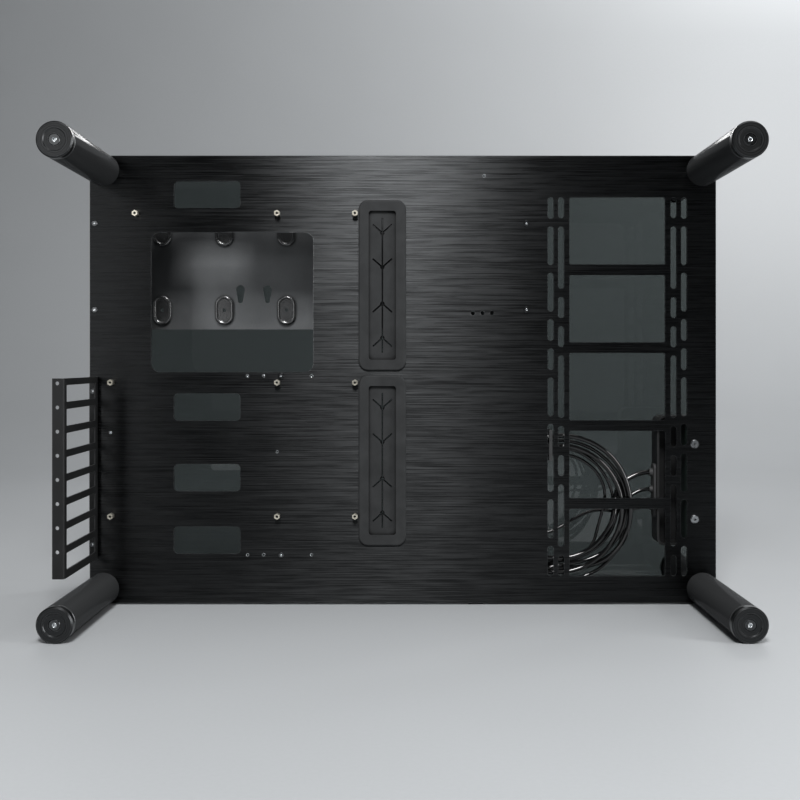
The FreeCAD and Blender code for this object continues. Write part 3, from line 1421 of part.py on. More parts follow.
def check_and_write():
    """Stops at any failed object or bad shape, then writes one file for each node."""
    doc.recompute()
    failed = [item.Name for item in doc.Objects if {"Invalid", "Error"} & set(item.State)]
    if failed:
        raise RuntimeError(f"failed objects: {failed}")
    for node in nodes:
        if node.Shape.isNull() or not node.Shape.isValid() or not node.Shape.Solids:
            raise RuntimeError(f"{node.Label} has no valid solid")
    os.makedirs("parts", exist_ok=True)
    for node in nodes:
        node.Shape.exportStep(f"parts/{node.Label}.step")
    print(f"{len(nodes)} nodes, {sum(len(node.Shape.Solids) for node in nodes)} solids")


main_plate()
posts_and_caps()
post_fasteners()
rear_glass()
motherboard_standoffs()
for grommet_label, grommet_z in GROMMETS.items():
    cable_grommet(grommet_label, grommet_z)
expansion_bracket()
drive_tray()
drive_pads()
supply_bracket()
supply_strap()
small_screws()
front_panel()
cables()
check_and_write()
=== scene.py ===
# %% [markdown]
# # An open-frame desktop computer case
# This lesson dresses a finished CAD model in Blender. The model is a case with no walls: one black
# brushed plate stands between round posts, and every component would hang on that plate in full view. The
# shapes are already exact, so the work here is light, finish, cables and the very small parts.
#
# The CAD model is loaded first and never moved. Everything that follows is placed in its frame, in
# metres: X runs to the right, Y runs away from the camera and Z runs up, with the floor at zero.

# %% Load the CAD model
import json
import math

import bpy
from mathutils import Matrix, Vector


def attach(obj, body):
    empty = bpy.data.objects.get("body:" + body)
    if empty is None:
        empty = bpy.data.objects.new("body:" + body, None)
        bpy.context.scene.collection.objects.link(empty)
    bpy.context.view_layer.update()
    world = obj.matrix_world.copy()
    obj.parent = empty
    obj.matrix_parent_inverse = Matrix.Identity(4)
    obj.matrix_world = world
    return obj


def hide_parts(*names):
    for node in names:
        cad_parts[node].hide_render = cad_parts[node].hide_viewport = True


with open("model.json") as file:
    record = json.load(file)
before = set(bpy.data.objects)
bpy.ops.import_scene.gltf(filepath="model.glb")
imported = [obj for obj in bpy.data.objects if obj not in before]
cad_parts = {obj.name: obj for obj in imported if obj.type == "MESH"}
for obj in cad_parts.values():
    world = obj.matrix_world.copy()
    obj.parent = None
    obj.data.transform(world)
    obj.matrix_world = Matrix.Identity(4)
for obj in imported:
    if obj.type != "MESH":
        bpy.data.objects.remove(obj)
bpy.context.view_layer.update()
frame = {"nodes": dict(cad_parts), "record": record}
nodes = frame["nodes"]
scene = bpy.context.scene
scene.view_settings.view_transform = "Standard"

# %% [markdown]
# ## The camera
# The case was photographed square on, so the lines of its posts all run to one point, almost in the
# middle of the picture. Two facts fix such a camera: how much the posts shrink with depth gives its
# distance as a multiple of their length, and the point where their lines meet gives its height. The
# picture was then cropped a little off centre, which a lens shift repeats without tilting the camera.
# Tilting it instead would make the plate's edges converge.

# %% Camera
PLATE_FRONT = 0.0175
PLATE_MIDDLE = 0.2105
CAMERA_X = 0.0032
CAMERA_HEIGHT = 0.2279
CAMERA_DISTANCE = 1.133
SENSOR_WIDTH_MM = 36.0
FOCAL_LENGTH_MM = 54.6
LENS_SHIFT = (-0.0079, -0.0491)

lens = bpy.data.cameras.new("photo_lens")
lens.sensor_width = SENSOR_WIDTH_MM
lens.lens = FOCAL_LENGTH_MM
lens.shift_x, lens.shift_y = LENS_SHIFT
camera = bpy.data.objects.new("photo_camera", lens)
camera.location = (CAMERA_X, PLATE_FRONT - CAMERA_DISTANCE, CAMERA_HEIGHT)
camera.rotation_euler = (math.pi / 2, 0.0, 0.0)
scene.collection.objects.link(camera)
scene.camera = camera
print("camera at", tuple(round(v, 4) for v in camera.location))

# %% [markdown]
# ## Three cables and their coil
# The front panel has three cables: a stout one for data, a thinner one for sound and a thin one for the
# buttons. Each leaves the panel's outlet, winds clockwise round the same coil behind the plate and runs
# out to its connector at the bottom.
#
# A coil could be a torus with a twisted texture, but real turns differ in size, lie in layers and part
# where nothing ties them. So each cable is one NURBS curve from outlet to connector, and its turns are
# points of that same curve. The lists below give the cable's lead, its turns as (angle, radius, depth
# behind the plate) and its tail. Turns bunch at the tie near the top, at 98 degrees, and spread at the
# lower right.

# %% Routes of the cables, in millimetres from the middle of the plate
MM_PER_METRE = 1000
COIL_X = 145.0
COIL_Z = -119.5


def in_frame(x, y, z):
    """A place in the frame, from millimetres to the right of, behind and above the plate's middle."""
    return Vector((x / MM_PER_METRE, PLATE_FRONT + y / MM_PER_METRE, PLATE_MIDDLE + z / MM_PER_METRE))


DATA_LEAD = [
    (233, 15.5, -88), (226.5, 15.5, -88), (214.5, 15, -92.8), (204.4, 14.2, -99.6), (200.4, 11, -109),
]
DATA_TURNS = [
    (10.7, 56.4, 11), (-4, 54.6, 7.6), (-25, 51.5, 6.2), (-90, 48, 6), (-146, 50.5, 5.9),
    (-200, 54.5, 6.2), (-262, 57, 6.3), (-320, 58.5, 6.2), (-360, 60.7, 6.1), (-400, 61.3, 6),
    (-450, 61.5, 5.9), (-540, 64, 6.1), (-622, 66, 6.3), (-680, 69.5, 6.2), (-720, 68, 6.2),
    (-740, 70.3, 6.3), (-760, 69.5, 6.9), (-775, 66.2, 9.6), (-788, 61.6, 10.7), (-803.1, 57.9, 10),
]
DATA_TAIL = [
    (152, 10, -177), (138, 11, -178.6), (124.5, 14.5, -184), (112, 19.5, -192.5), (100, 25.5, -201),
    (87.5, 30.5, -206), (75.5, 30.5, -206),
]
SOUND_LEAD = [
    (233, 15.5, -104), (226, 15.5, -104), (215, 15, -110), (206.4, 14.1, -116.4), (202.6, 10.5, -122.6),
]
SOUND_TURNS = [
    (-3.1, 57.7, 10.5), (-30, 55.5, 10.6), (-60, 53, 10.5), (-90, 50, 9.9), (-146, 52.7, 10.7),
    (-200, 52.5, 10.6), (-262, 52.3, 10.2), (-320, 59.5, 10.3), (-341, 62.6, 10.1), (-360, 61.6, 10.5),
    (-380, 67.5, 11.4), (-400, 71, 11), (-420, 71.5, 10.8), (-450, 70, 10.6), (-540, 65, 10.5),
    (-622, 61.5, 10.2), (-680, 64, 10.4), (-701, 66, 10.2), (-720, 65.5, 9.3), (-740, 65.6, 7.8),
    (-760, 62.5, 9.9), (-770, 59.8, 10.1), (-780, 57.6, 9.2), (-792, 55.6, 7.9), (-804.8, 54.7, 7),
]
SOUND_TAIL = [
    (150, 7, -174), (137, 7.2, -176.4), (124.5, 7.8, -182.8), (113, 8.6, -192), (101, 9.6, -201),
    (88, 10.5, -207.5), (75.5, 10.5, -207.5),
]
SWITCH_LEAD = [
    (233, 15.5, -121), (226, 15.5, -121), (214, 17, -124.6), (202.5, 19.2, -126.3), (190, 20, -124),
    (177, 18.5, -125.3), (164.5, 15.5, -130.5), (151.5, 12.5, -138), (136.5, 10.5, -144.6),
    (120, 9.5, -148.5), (104, 9.8, -147),
]
SWITCH_TURNS = [
    (-146.1, 49.4, 9.8), (-165, 48, 11.6), (-190, 48.2, 13.4), (-262, 49, 13.6), (-330, 49.5, 14.4),
    (-352, 47, 14.6), (-375, 41, 14.6), (-395, 45, 14.6), (-411, 52, 14.6), (-450, 57.5, 14.6),
    (-540, 57, 14.4), (-622, 55.5, 13.8), (-690, 54, 14.6), (-720, 54, 14.6), (-760, 53, 14.2),
    (-790, 52.2, 13.3), (-807.8, 52.5, 12.5),
]
SWITCH_TAIL = [
    (147, 12.5, -172), (134, 14.5, -174.8), (122, 19.5, -181.5), (111, 27.5, -191), (100, 36.5, -200.5),
    (88, 45, -207), (74, 49, -208), (61, 49, -208),
]
print(len(DATA_TURNS), len(SOUND_TURNS), len(SWITCH_TURNS), "places set the turns of the three cables")

# %% [markdown]
# A NURBS curve cuts inside its points, so a ring of points gives a slightly smaller ring of cable.
# Dividing the radius by the cosine of half a step puts that back. The curve is read twice: bare, for the
# line that the cable follows, and with a bevel, for the tube itself.

# %% Build the three cables
STEP_ANGLE = 20.0
STEPS_BETWEEN_POINTS = 6
TUBE_ROUNDNESS = 5


def turn_points(turns):
    """Points round the coil every STEP_ANGLE degrees, between the given places."""
    points = []
    angle = turns[0][0] - STEP_ANGLE
    while angle > turns[-1][0] + STEP_ANGLE / 2:
        for (a0, r0, y0), (a1, r1, y1) in zip(turns, turns[1:]):
            if a1 <= angle <= a0:
                part = (a0 - angle) / (a0 - a1)
                radius = (r0 + part * (r1 - r0)) / math.cos(math.radians(STEP_ANGLE / 2))
                depth = y0 + part * (y1 - y0)
        turned = math.radians(angle)
        points.append((COIL_X + radius * math.cos(turned), depth, COIL_Z + radius * math.sin(turned)))
        angle -= STEP_ANGLE
    return points


def cable_curve(name, lead, turns, tail):
    """One NURBS curve from the outlet, round the coil and on to the connector."""
    curve = bpy.data.curves.new(name, "CURVE")
    curve.dimensions = "3D"
    curve.resolution_u = STEPS_BETWEEN_POINTS
    spline = curve.splines.new("NURBS")
    points = [in_frame(*p) for p in lead + turn_points(turns) + tail]
    spline.points.add(len(points) - 1)
    for point, place in zip(spline.points, points):
        point.co = (*place, 1.0)
    spline.order_u = 3
    spline.use_endpoint_u = True
    return curve


def cable(name, lead, turns, tail, diameter):
    """The cable as a mesh tube, and the line that it follows."""
    curve = cable_curve(name, lead, turns, tail)
    route = bpy.data.objects.new(name + "_route", curve)
    line = [v.co.copy() for v in bpy.data.meshes.new_from_object(route).vertices]
    curve.bevel_depth = diameter / 2
    curve.bevel_resolution = TUBE_ROUNDNESS
    curve.use_fill_caps = True
    tube = bpy.data.meshes.new_from_object(route)
    tube.shade_smooth()
    bpy.data.objects.remove(route)
    piece = bpy.data.objects.new(name, tube)
    scene.collection.objects.link(piece)
    return piece, line


CABLES = {
    "data_cable": (DATA_LEAD, DATA_TURNS, DATA_TAIL, 0.0046, "data_connector"),
    "sound_cable": (SOUND_LEAD, SOUND_TURNS, SOUND_TAIL, 0.0035, "sound_connector"),
    "switch_cable": (SWITCH_LEAD, SWITCH_TURNS, SWITCH_TAIL, 0.003, "switch_connector"),
}
cables = {}
lines = {}
for node_name, (lead, turns, tail, diameter, _) in CABLES.items():
    piece, lines[node_name] = cable(node_name + "_run", lead, turns, tail, diameter)
    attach(piece, "case")
    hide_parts(node_name)
    cables[node_name] = piece
    print(piece.name, "follows", len(lines[node_name]), "points")
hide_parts("cable_coil")

# %% [markdown]
# ## Floor and backdrop
# A sheet of pale card that curves up behind the object is what a studio uses, because it has no line
# where the floor meets the wall. It could be a plane with a bevelled fold. One profile swept sideways is
# as short, and its curve is exact.

# %% Sweep
SWEEP_HALF_WIDTH = 4.0
SWEEP_FLAT_ROWS = (-3.0, -1.0, 0.6)
SWEEP_TURN = 1.3
SWEEP_RADIUS = 1.2
SWEEP_STEPS = 16
SWEEP_TOP = 4.0


def sweep_profile():
    """The side view of the card as (y, z), from its front edge to its top."""
    profile = [(y, 0.0) for y in SWEEP_FLAT_ROWS]
    for step in range(SWEEP_STEPS + 1):
        turned = math.radians(90 * step / SWEEP_STEPS)
        rise = SWEEP_RADIUS * (1 - math.cos(turned))
        profile.append((SWEEP_TURN + SWEEP_RADIUS * math.sin(turned), rise))
    profile.append((SWEEP_TURN + SWEEP_RADIUS, SWEEP_TOP))
    return profile


profile = sweep_profile()
columns = [-SWEEP_HALF_WIDTH, 0.0, SWEEP_HALF_WIDTH]
corners = [(x, y, z) for x in columns for y, z in profile]
count = len(profile)
faces = []
for column in range(len(columns) - 1):
    for row in range(count - 1):
        first = column * count + row
        faces.append((first, first + count, first + count + 1, first + 1))
sweep_mesh = bpy.data.meshes.new("paper_sweep")
sweep_mesh.from_pydata(corners, [], faces)
sweep_mesh.shade_smooth()
sweep = bpy.data.objects.new("paper_sweep", sweep_mesh)
scene.collection.objects.link(sweep)
print("sweep of", len(faces), "faces")

# %% [markdown]
# ## Light
# Brushed metal is shown best by a lamp straight above the camera: the brush lines run sideways, so they
# smear that lamp's reflection up and down into a bright band. A big soft lamp overhead fills the scene,
# and two smaller ones at the sides give the posts and the cables their highlights. One lamp is turned
# away, to the backdrop, which it makes brightest at the upper right. A thin strip behind the object draws
# the crisp line along the top of each post. The camera sees the strip neither directly nor through the
# glass.

# %% Lamps
def softbox(name, place, aim, width, height, watts):
    data = bpy.data.lights.new(name, "AREA")
    data.shape = "RECTANGLE"
    data.size = width
    data.size_y = height
    data.energy = watts
    lamp = bpy.data.objects.new(name, data)
    lamp.location = place
    lamp.rotation_euler = (Vector(aim) - Vector(place)).to_track_quat("-Z", "Y").to_euler()
    scene.collection.objects.link(lamp)
    return lamp


# Each lamp's place, the point that it is aimed at, its width and height, and its power.
LAMPS = {
    "band_lamp": ((-0.04, -1.35, 1.34), (-0.02, 0.0, 0.25), 0.36, 0.5, 36.0),
    "overhead_lamp": ((0.3, -0.1, 2.0), (0.0, 0.1, 0.2), 2.0, 0.9, 10.0),
    "left_lamp": ((-0.75, -1.5, 0.42), (-0.25, 0.0, 0.25), 0.35, 0.5, 1.6),
    "right_lamp": ((1.2, -0.65, 0.42), (0.15, 0.0, 0.12), 0.3, 0.9, 11.0),
    "backdrop_lamp": ((1.5, 1.45, 2.1), (0.75, 2.5, 1.6), 1.4, 0.5, 46.0),
    "post_strip_lamp": ((0.0, 1.5, 0.925), (0.0, 0.0, 0.4), 2.4, 0.03, 4.5),
}
lamps = {name: softbox(name, *values) for name, values in LAMPS.items()}
lamps["post_strip_lamp"].visible_camera = False
lamps["post_strip_lamp"].visible_transmission = False
print("lamps:", ", ".join(lamps))

# %% Surrounding light
SURROUND_COLOUR = (0.82, 0.86, 0.9, 1.0)
SURROUND_STRENGTH = 0.1

world = bpy.data.worlds.new("studio")
world.use_nodes = True
scene.world = world
background = world.node_tree.nodes["Background"].inputs
background["Color"].default_value = SURROUND_COLOUR
background["Strength"].default_value = SURROUND_STRENGTH
print("grey surround of strength", SURROUND_STRENGTH)

# %% [markdown]
# ## Shader groups that several finishes share
# Every finish here is made of the same few effects: lines left by a brush, rings left by a lathe, the
# fine grain of a moulded or powder-coated skin, paler edges that are partly wear and partly a painted
# highlight, a little settled dust and painted shade in crevices. Each effect is one node group with its
# sizes as inputs, built once. Their textures read Object coordinates, which are metres here, so a scale
# of
# 1000 means one cycle per millimetre on every part alike.

# %% Helpers for node trees
def add(tree, kind, settings, links):
    """A node with its properties set and each input linked to a socket or given a plain value."""
    node = tree.nodes.new(kind)
    for key, value in settings.items():
        setattr(node, key, value)
    for key, value in links.items():
        if isinstance(value, bpy.types.NodeSocket):
            tree.links.new(value, node.inputs[key])
        else:
            node.inputs[key].default_value = value
    return node


def maths(tree, operation, first, second=0.0):
    return add(tree, "ShaderNodeMath", {"operation": operation}, {0: first, 1: second}).outputs[0]


def product(tree, first, *others):
    for other in others:
        first = maths(tree, "MULTIPLY", first, other)
    return first


def mixture(tree, first, second, share):
    """The sum of two values, of which the first has the given share."""
    return maths(tree, "ADD", product(tree, first, share), product(tree, second, 1 - share))


WHOLE = (0.0, 1.0)


def ranged(tree, value, span, target=WHOLE):
    """The value with the two ends of a span brought to the two ends of a target, and held there."""
    links = {"Value": value, "From Min": span[0], "From Max": span[1]}
    links.update({"To Min": target[0], "To Max": target[1]})
    return add(tree, "ShaderNodeMapRange", {"clamp": True}, links).outputs[0]


def noise(tree, vector, scale, detail=3.0, roughness=0.6):
    links = {"Vector": vector, "Scale": scale, "Detail": detail, "Roughness": roughness}
    return add(tree, "ShaderNodeTexNoise", {}, links).outputs[0]


def object_place(tree):
    return tree.nodes.new("ShaderNodeTexCoord").outputs["Object"]


def surface_normal(tree):
    return tree.nodes.new("ShaderNodeNewGeometry").outputs["Normal"]


# %% Helpers for shader groups
EFFECTS = {}


def effect(name, inputs, outputs):
    """An empty node group, with the sockets of its inputs and outputs."""
    group = bpy.data.node_groups.new(name, "ShaderNodeTree")
    for label, start in inputs.items():
        socket = group.interface.new_socket(label, in_out="INPUT", socket_type="NodeSocketFloat")
        socket.default_value = start
    for label in outputs:
        group.interface.new_socket(label, in_out="OUTPUT", socket_type="NodeSocketFloat")
    entry = group.nodes.new("NodeGroupInput").outputs
    result = group.nodes.new("NodeGroupOutput").inputs
    return group, entry, result


def keep_effect(key, group):
    EFFECTS[key] = group
    print(f"shader group: {group.name}, {len(group.nodes)} nodes")


# %% [markdown]
# ### Brushed lines
# A belt of grit leaves long scratches, all in one direction. They could be drawn as a photograph of
# brushed metal, but noise that is stretched along X and squeezed along Y and Z never repeats. Fine lines
# are mixed with shorter dashes, as the grit on a belt is uneven, and a slow cloud keeps the sheet from
# looking even.

# %% Group: brushed lines
DASH_STRETCH = (2.0, 0.22, 0.22)
FINE_SHARE = 0.68
LINE_SHARE = 0.85
LINE_SPAN = (0.34, 0.66)
CLOUD_SCALE = 7.0


def stretched(tree, place, factors):
    links = {0: place, 1: factors}
    return add(tree, "ShaderNodeVectorMath", {"operation": "MULTIPLY"}, links).outputs[0]


def brushed_lines():
    group, entry, result = effect("brushed lines", {"Along": 9.0, "Across": 900.0}, ["Mask", "Height"])
    place = object_place(group)
    links = {"X": entry["Along"], "Y": entry["Across"], "Z": entry["Across"]}
    long_place = stretched(group, place, add(group, "ShaderNodeCombineXYZ", {}, links).outputs[0])
    fine = noise(group, long_place, 1.0)
    coarse = noise(group, stretched(group, long_place, DASH_STRETCH), 1.0)
    lines = mixture(group, fine, coarse, FINE_SHARE)
    cloud = noise(group, place, CLOUD_SCALE, 2.0, 0.5)
    tone = mixture(group, lines, cloud, LINE_SHARE)
    group.links.new(ranged(group, tone, LINE_SPAN), result["Mask"])
    group.links.new(lines, result["Height"])
    return group


keep_effect("brushed", brushed_lines())

# %% [markdown]
# ### Turned rings
# A lathe leaves rings, on the end of a bar as circles and along its side as hoops. Both come from one
# number: the distance from the bar's axis plus the distance along it. Taking X and Z without their signs,
# from the middle of the case, folds the four corners onto one, so that one axis serves all the posts.

# %% Group: turned rings
RING_SPAN = (0.3, 0.7)


def turned_rings():
    sizes = {"Centre X": 0.27, "Centre Z": 0.19, "Middle": PLATE_MIDDLE, "Scale": 1500.0}
    group, entry, result = effect("turned rings", sizes, ["Mask", "Height"])
    axes = add(group, "ShaderNodeSeparateXYZ", {}, {0: object_place(group)}).outputs
    aside = maths(group, "SUBTRACT", maths(group, "ABSOLUTE", axes["X"]), entry["Centre X"])
    from_middle = maths(group, "ABSOLUTE", maths(group, "SUBTRACT", axes["Z"], entry["Middle"]))
    above = maths(group, "SUBTRACT", from_middle, entry["Centre Z"])
    squares = maths(group, "ADD", product(group, aside, aside), product(group, above, above))
    radius = maths(group, "SQRT", squares)
    along = product(group, maths(group, "ADD", radius, axes["Y"]), entry["Scale"])
    links = {"W": along, "Scale": 1.0, "Detail": 3.0}
    ring = add(group, "ShaderNodeTexNoise", {"noise_dimensions": "1D"}, links).outputs[0]
    group.links.new(ranged(group, ring, RING_SPAN), result["Mask"])
    group.links.new(ring, result["Height"])
    return group


keep_effect("turned", turned_rings())

# %% [markdown]
# ### Moulded grain
# The skin of rubber, plastic and powder coat is a field of tiny rounded bumps, with slow patches where it
# was handled or flowed. Smooth cells give the bumps, and two noises give the specks and the patches.

# %% Group: moulded grain
SPECK_SHARE = 0.35
GRAIN_SPAN = (0.3, 0.7)
BUMP_SHARE = 0.5


def moulded_grain():
    group, entry, result = effect("moulded grain", {"Grain": 2500.0, "Patches": 40.0}, ["Mask", "Height"])
    place = object_place(group)
    links = {"Vector": place, "Scale": entry["Grain"]}
    bumps = add(group, "ShaderNodeTexVoronoi", {"feature": "SMOOTH_F1"}, links).outputs[0]
    speck = noise(group, place, entry["Grain"], 2.0)
    patches = noise(group, place, entry["Patches"])
    tone = mixture(group, speck, patches, SPECK_SHARE)
    group.links.new(ranged(group, tone, GRAIN_SPAN), result["Mask"])
    group.links.new(mixture(group, bumps, speck, BUMP_SHARE), result["Height"])
    return group


keep_effect("grain", moulded_grain())

# %% [markdown]
# ### Worn and highlighted edges, settled dust and painted crevice shade
# Dye and paint wear off first at an edge, and the paler edge also stands in for the highlight that a
# rounded edge catches, so it is partly a painted highlight. The Bevel node gives the normal that a
# rounded edge would have, and where it departs from the true normal there is an edge. Dust lies on faces
# that look up. Crevices, such as the slits of a grommet, and gaps where parts nearly touch get hardly any
# light from around, which the Ambient Occlusion node measures within a few millimetres, and the colour is
# darkened there as painted shade. All three could be painted by hand, but a mask from the shape itself
# follows every later change.

# %% Group: worn edges and painted highlight
EDGE_SPAN = (0.98, 0.8)
WEAR_SCALE = 220.0
WEAR_SPAN = (0.35, 0.6)
WEAR_LEVELS = (0.25, 1.0)


def worn_and_highlit_edges():
    group, entry, result = effect("worn edges and painted highlight", {"Width": 0.0008, "Amount": 0.6}, ["Mask"])
    # The paler edge is partly wear and partly a painted highlight.
    rounded = add(group, "ShaderNodeBevel", {"samples": 4}, {"Radius": entry["Width"]}).outputs[0]
    links = {0: rounded, 1: surface_normal(group)}
    alike = add(group, "ShaderNodeVectorMath", {"operation": "DOT_PRODUCT"}, links).outputs["Value"]
    edge = ranged(group, alike, EDGE_SPAN)
    broken = ranged(group, noise(group, object_place(group), WEAR_SCALE), WEAR_SPAN, WEAR_LEVELS)
    group.links.new(product(group, edge, broken, entry["Amount"]), result["Mask"])
    return group


keep_effect("edges", worn_and_highlit_edges())

# %% Group: settled dust
UPWARD_SPAN = (0.3, 1.0)
DUST_SPAN = (0.45, 0.75)
DRIFT_SCALE = 30.0
DRIFT_SPAN = (0.35, 0.7)
DRIFT_LEVELS = (0.2, 1.0)


def settled_dust():
    group, entry, result = effect("settled dust", {"Amount": 0.15, "Scale": 900.0}, ["Mask"])
    up = add(group, "ShaderNodeSeparateXYZ", {}, {0: surface_normal(group)}).outputs["Z"]
    upward = ranged(group, up, UPWARD_SPAN)
    place = object_place(group)
    specks = ranged(group, noise(group, place, entry["Scale"], roughness=0.7), DUST_SPAN)
    drift = noise(group, place, DRIFT_SCALE, 2.0, 0.5)
    drifts = ranged(group, drift, DRIFT_SPAN, DRIFT_LEVELS)
    group.links.new(product(group, upward, specks, drifts, entry["Amount"]), result["Mask"])
    return group


keep_effect("dust", settled_dust())

# %% Group: painted crevice shade
SHUT_SPAN = (0.85, 0.35)


def painted_crevice_shade():
    group, entry, result = effect("painted crevice shade", {"Reach": 0.003, "Amount": 0.9}, ["Mask"])
    links = {"Distance": entry["Reach"]}
    openness = add(group, "ShaderNodeAmbientOcclusion", {"samples": 8}, links).outputs["AO"]
    # Painted shade: the colour is darkened where little light reaches, in crevices and where parts nearly
    # touch.
    shut = ranged(group, openness, SHUT_SPAN)
    group.links.new(product(group, shut, entry["Amount"]), result["Mask"])
    return group


keep_effect("crevices", painted_crevice_shade())

# %% [markdown]
# ## One recipe for opaque finishes
# A finish starts from a surface effect whose mask slides the colour and the roughness between two values
# and whose height tilts the normals. Paler edges, partly wear and partly a painted highlight, and dust
# then go over the colour, and painted shade makes crevices darker and dull. What doesn't change over the
# surface, such as the metallic value or a clear coat, is set straight on the shader.

# %% Recipe
DUST_COLOUR = (0.32, 0.31, 0.29)
PAINTED_SHADE_TONE = 0.001
COOL_GREY = (0.965, 1.0, 1.03)


def rgba(colour):
    """A colour with alpha. One number is a grey, with the trace of blue that metal and black dye have."""
    shade = [colour * part for part in COOL_GREY] if isinstance(colour, float) else colour
    return (*shade, 1.0)


def blend_colours(tree, mask, first, second):
    links = {0: mask, 6: first, 7: second}
    return add(tree, "ShaderNodeMix", {"data_type": "RGBA"}, links).outputs[2]


def place_effect(tree, name, values):
    node = tree.nodes.new("ShaderNodeGroup")
    node.node_tree = EFFECTS[name]
    for key, value in values.items():
        node.inputs[key].default_value = value
    return node.outputs


def new_material(name):
    material = bpy.data.materials.new(name)
    material.use_nodes = True
    return material, material.node_tree, material.node_tree.nodes["Principled BSDF"].inputs


def finish(name, skin, sizes, tones, rough, bump, edge=None, dust=0.0, crevice=0.0, **sockets):
    """A material with a skin of the given sizes.

    tones and rough are the two ends that the skin's mask slides between, and bump is its strength and
    depth. edge is the width, amount and tone of paler edges, partly wear and partly a painted highlight,
    dust is an amount and crevice the reach in metres of painted crevice shade. The sockets are plain
    values of the shader, with _ for a space.
    """
    material, tree, shader = new_material(name)
    surface = place_effect(tree, skin, sizes)
    colour = blend_colours(tree, surface["Mask"], *[rgba(tone) for tone in tones])
    roughness = ranged(tree, surface["Mask"], WHOLE, rough)
    # Edges go paler in the colour, partly as wear and partly as a painted highlight.
    if edge:
        width, amount, wear_and_highlight_tone = edge
        edge_wear_and_highlight = place_effect(tree, "edges", {"Width": width, "Amount": amount})
        colour = blend_colours(tree, edge_wear_and_highlight["Mask"], colour, rgba(wear_and_highlight_tone))
    if dust:
        settled = place_effect(tree, "dust", {"Amount": dust})
        colour = blend_colours(tree, settled["Mask"], colour, rgba(DUST_COLOUR))
    # Painted shade: crevices and gaps between parts are darkened in the colour and made dull.
    if crevice:
        crevice_shade = place_effect(tree, "crevices", {"Reach": crevice})
        colour = blend_colours(tree, crevice_shade["Mask"], colour, rgba(PAINTED_SHADE_TONE))
        roughness = maths(tree, "MAXIMUM", roughness, crevice_shade["Mask"])
    strength, depth = bump
    links = {"Strength": strength, "Distance": depth, "Height": surface["Height"]}
    tree.links.new(colour, shader["Base Color"])
    tree.links.new(roughness, shader["Roughness"])
    tree.links.new(add(tree, "ShaderNodeBump", {}, links).outputs[0], shader["Normal"])
    for key, value in sockets.items():
        shader[key.replace("_", " ")].default_value = value
    return material


# %% [markdown]
# ## The metals
# The plate is aluminium, brushed from side to side and then dyed black, so it is a dark metal whose tone
# and roughness both follow the lines. The posts and caps were turned on a lathe. The posts are dyed so
# deeply that they hardly mirror the room, so most of their shine is a thin clear coat. Screws are plain
# or blackened steel, and a wrench has polished their sockets.

# %% Aluminium
BRUSHED_SIDEWAYS = {"Along": 14.0, "Across": 1500.0}
TURNED_AT_CORNERS = {"Centre X": 0.28, "Centre Z": 0.1955, "Scale": 1300.0}
finishes = {
    "plate": finish(
        "black_brushed_aluminium", "brushed", BRUSHED_SIDEWAYS, tones=(0.0105, 0.031), rough=(0.22, 0.34),
        bump=(0.42, 0.00012), edge=(0.0007, 0.5, 0.3), Metallic=1.0, Anisotropic=0.95,
        Anisotropic_Rotation=0.25),
    "post": finish(
        "black_turned_aluminium", "turned", TURNED_AT_CORNERS, tones=(0.045, 0.07), rough=(0.24, 0.32),
        bump=(0.1, 0.0001), edge=(0.0006, 0.4, 0.12), Metallic=0.5, Specular_IOR_Level=0.0,
        Specular_Tint=rgba(0.0), Coat_Weight=0.12, Coat_Roughness=0.08),
    "cap": finish(
        "dark_faced_aluminium", "turned", TURNED_AT_CORNERS, tones=(0.024, 0.046), rough=(0.26, 0.38),
        bump=(0.2, 0.0001), edge=(0.0006, 0.6, 0.3), Metallic=0.95),
}
print("aluminium:", ", ".join(finishes))

# %% Steel and plated metal
def grain(size, patches):
    return {"Grain": size, "Patches": patches}


SCREW_GRAIN = grain(4000.0, 700.0)
steels = {
    "steel": finish(
        "bright_screw_steel", "grain", SCREW_GRAIN, tones=(0.26, 0.4), rough=(0.16, 0.26),
        bump=(0.04, 0.0001), Metallic=1.0),
    "worn_steel": finish(
        "worn_bright_metal", "grain", SCREW_GRAIN, tones=(0.5, 0.68), rough=(0.2, 0.3),
        bump=(0.04, 0.0001), Metallic=1.0),
    "black_steel": finish(
        "blackened_screw_steel", "grain", SCREW_GRAIN, tones=(0.05, 0.1), rough=(0.16, 0.28),
        bump=(0.04, 0.0001), edge=(0.0003, 0.6, 0.4), Metallic=1.0),
    # Painted crevice shade darkens the tapped mouths of the stand-offs.
    "standoff": finish(
        "plated_standoff", "grain", SCREW_GRAIN, tones=((0.6, 0.56, 0.46), (0.8, 0.76, 0.66)),
        rough=(0.24, 0.36), bump=(0.04, 0.0001), crevice=0.003, Metallic=1.0),
    "black_sheet": finish(
        "black_coated_sheet", "grain", grain(2200.0, 25.0), tones=(0.007, 0.014), rough=(0.4, 0.52),
        bump=(0.15, 0.0002), edge=(0.0006, 0.4, 0.1), dust=0.04, Specular_IOR_Level=0.22),
    # Painted crevice shade on the tray draws dark outlines round the pads that stand on it.
    "tray": finish(
        "grey_tray_steel", "grain", grain(1500.0, 18.0), tones=(0.1, 0.15), rough=(0.3, 0.4),
        bump=(0.05, 0.0001), edge=(0.0006, 0.5, 0.3), crevice=0.0035, Metallic=0.8),
    "socket_shell": finish(
        "plated_socket_shell", "brushed", {"Along": 60.0, "Across": 1500.0}, tones=(0.5, 0.62),
        rough=(0.22, 0.34), bump=(0.08, 0.0001), Metallic=1.0),
    "contact": finish(
        "gilded_contact", "grain", grain(4000.0, 500.0), tones=((0.6, 0.42, 0.16), (0.74, 0.55, 0.24)),
        rough=(0.2, 0.3), bump=(0.03, 0.0001), Metallic=1.0),
}
finishes.update(steels)
print("steel and plated metal:", ", ".join(steels))
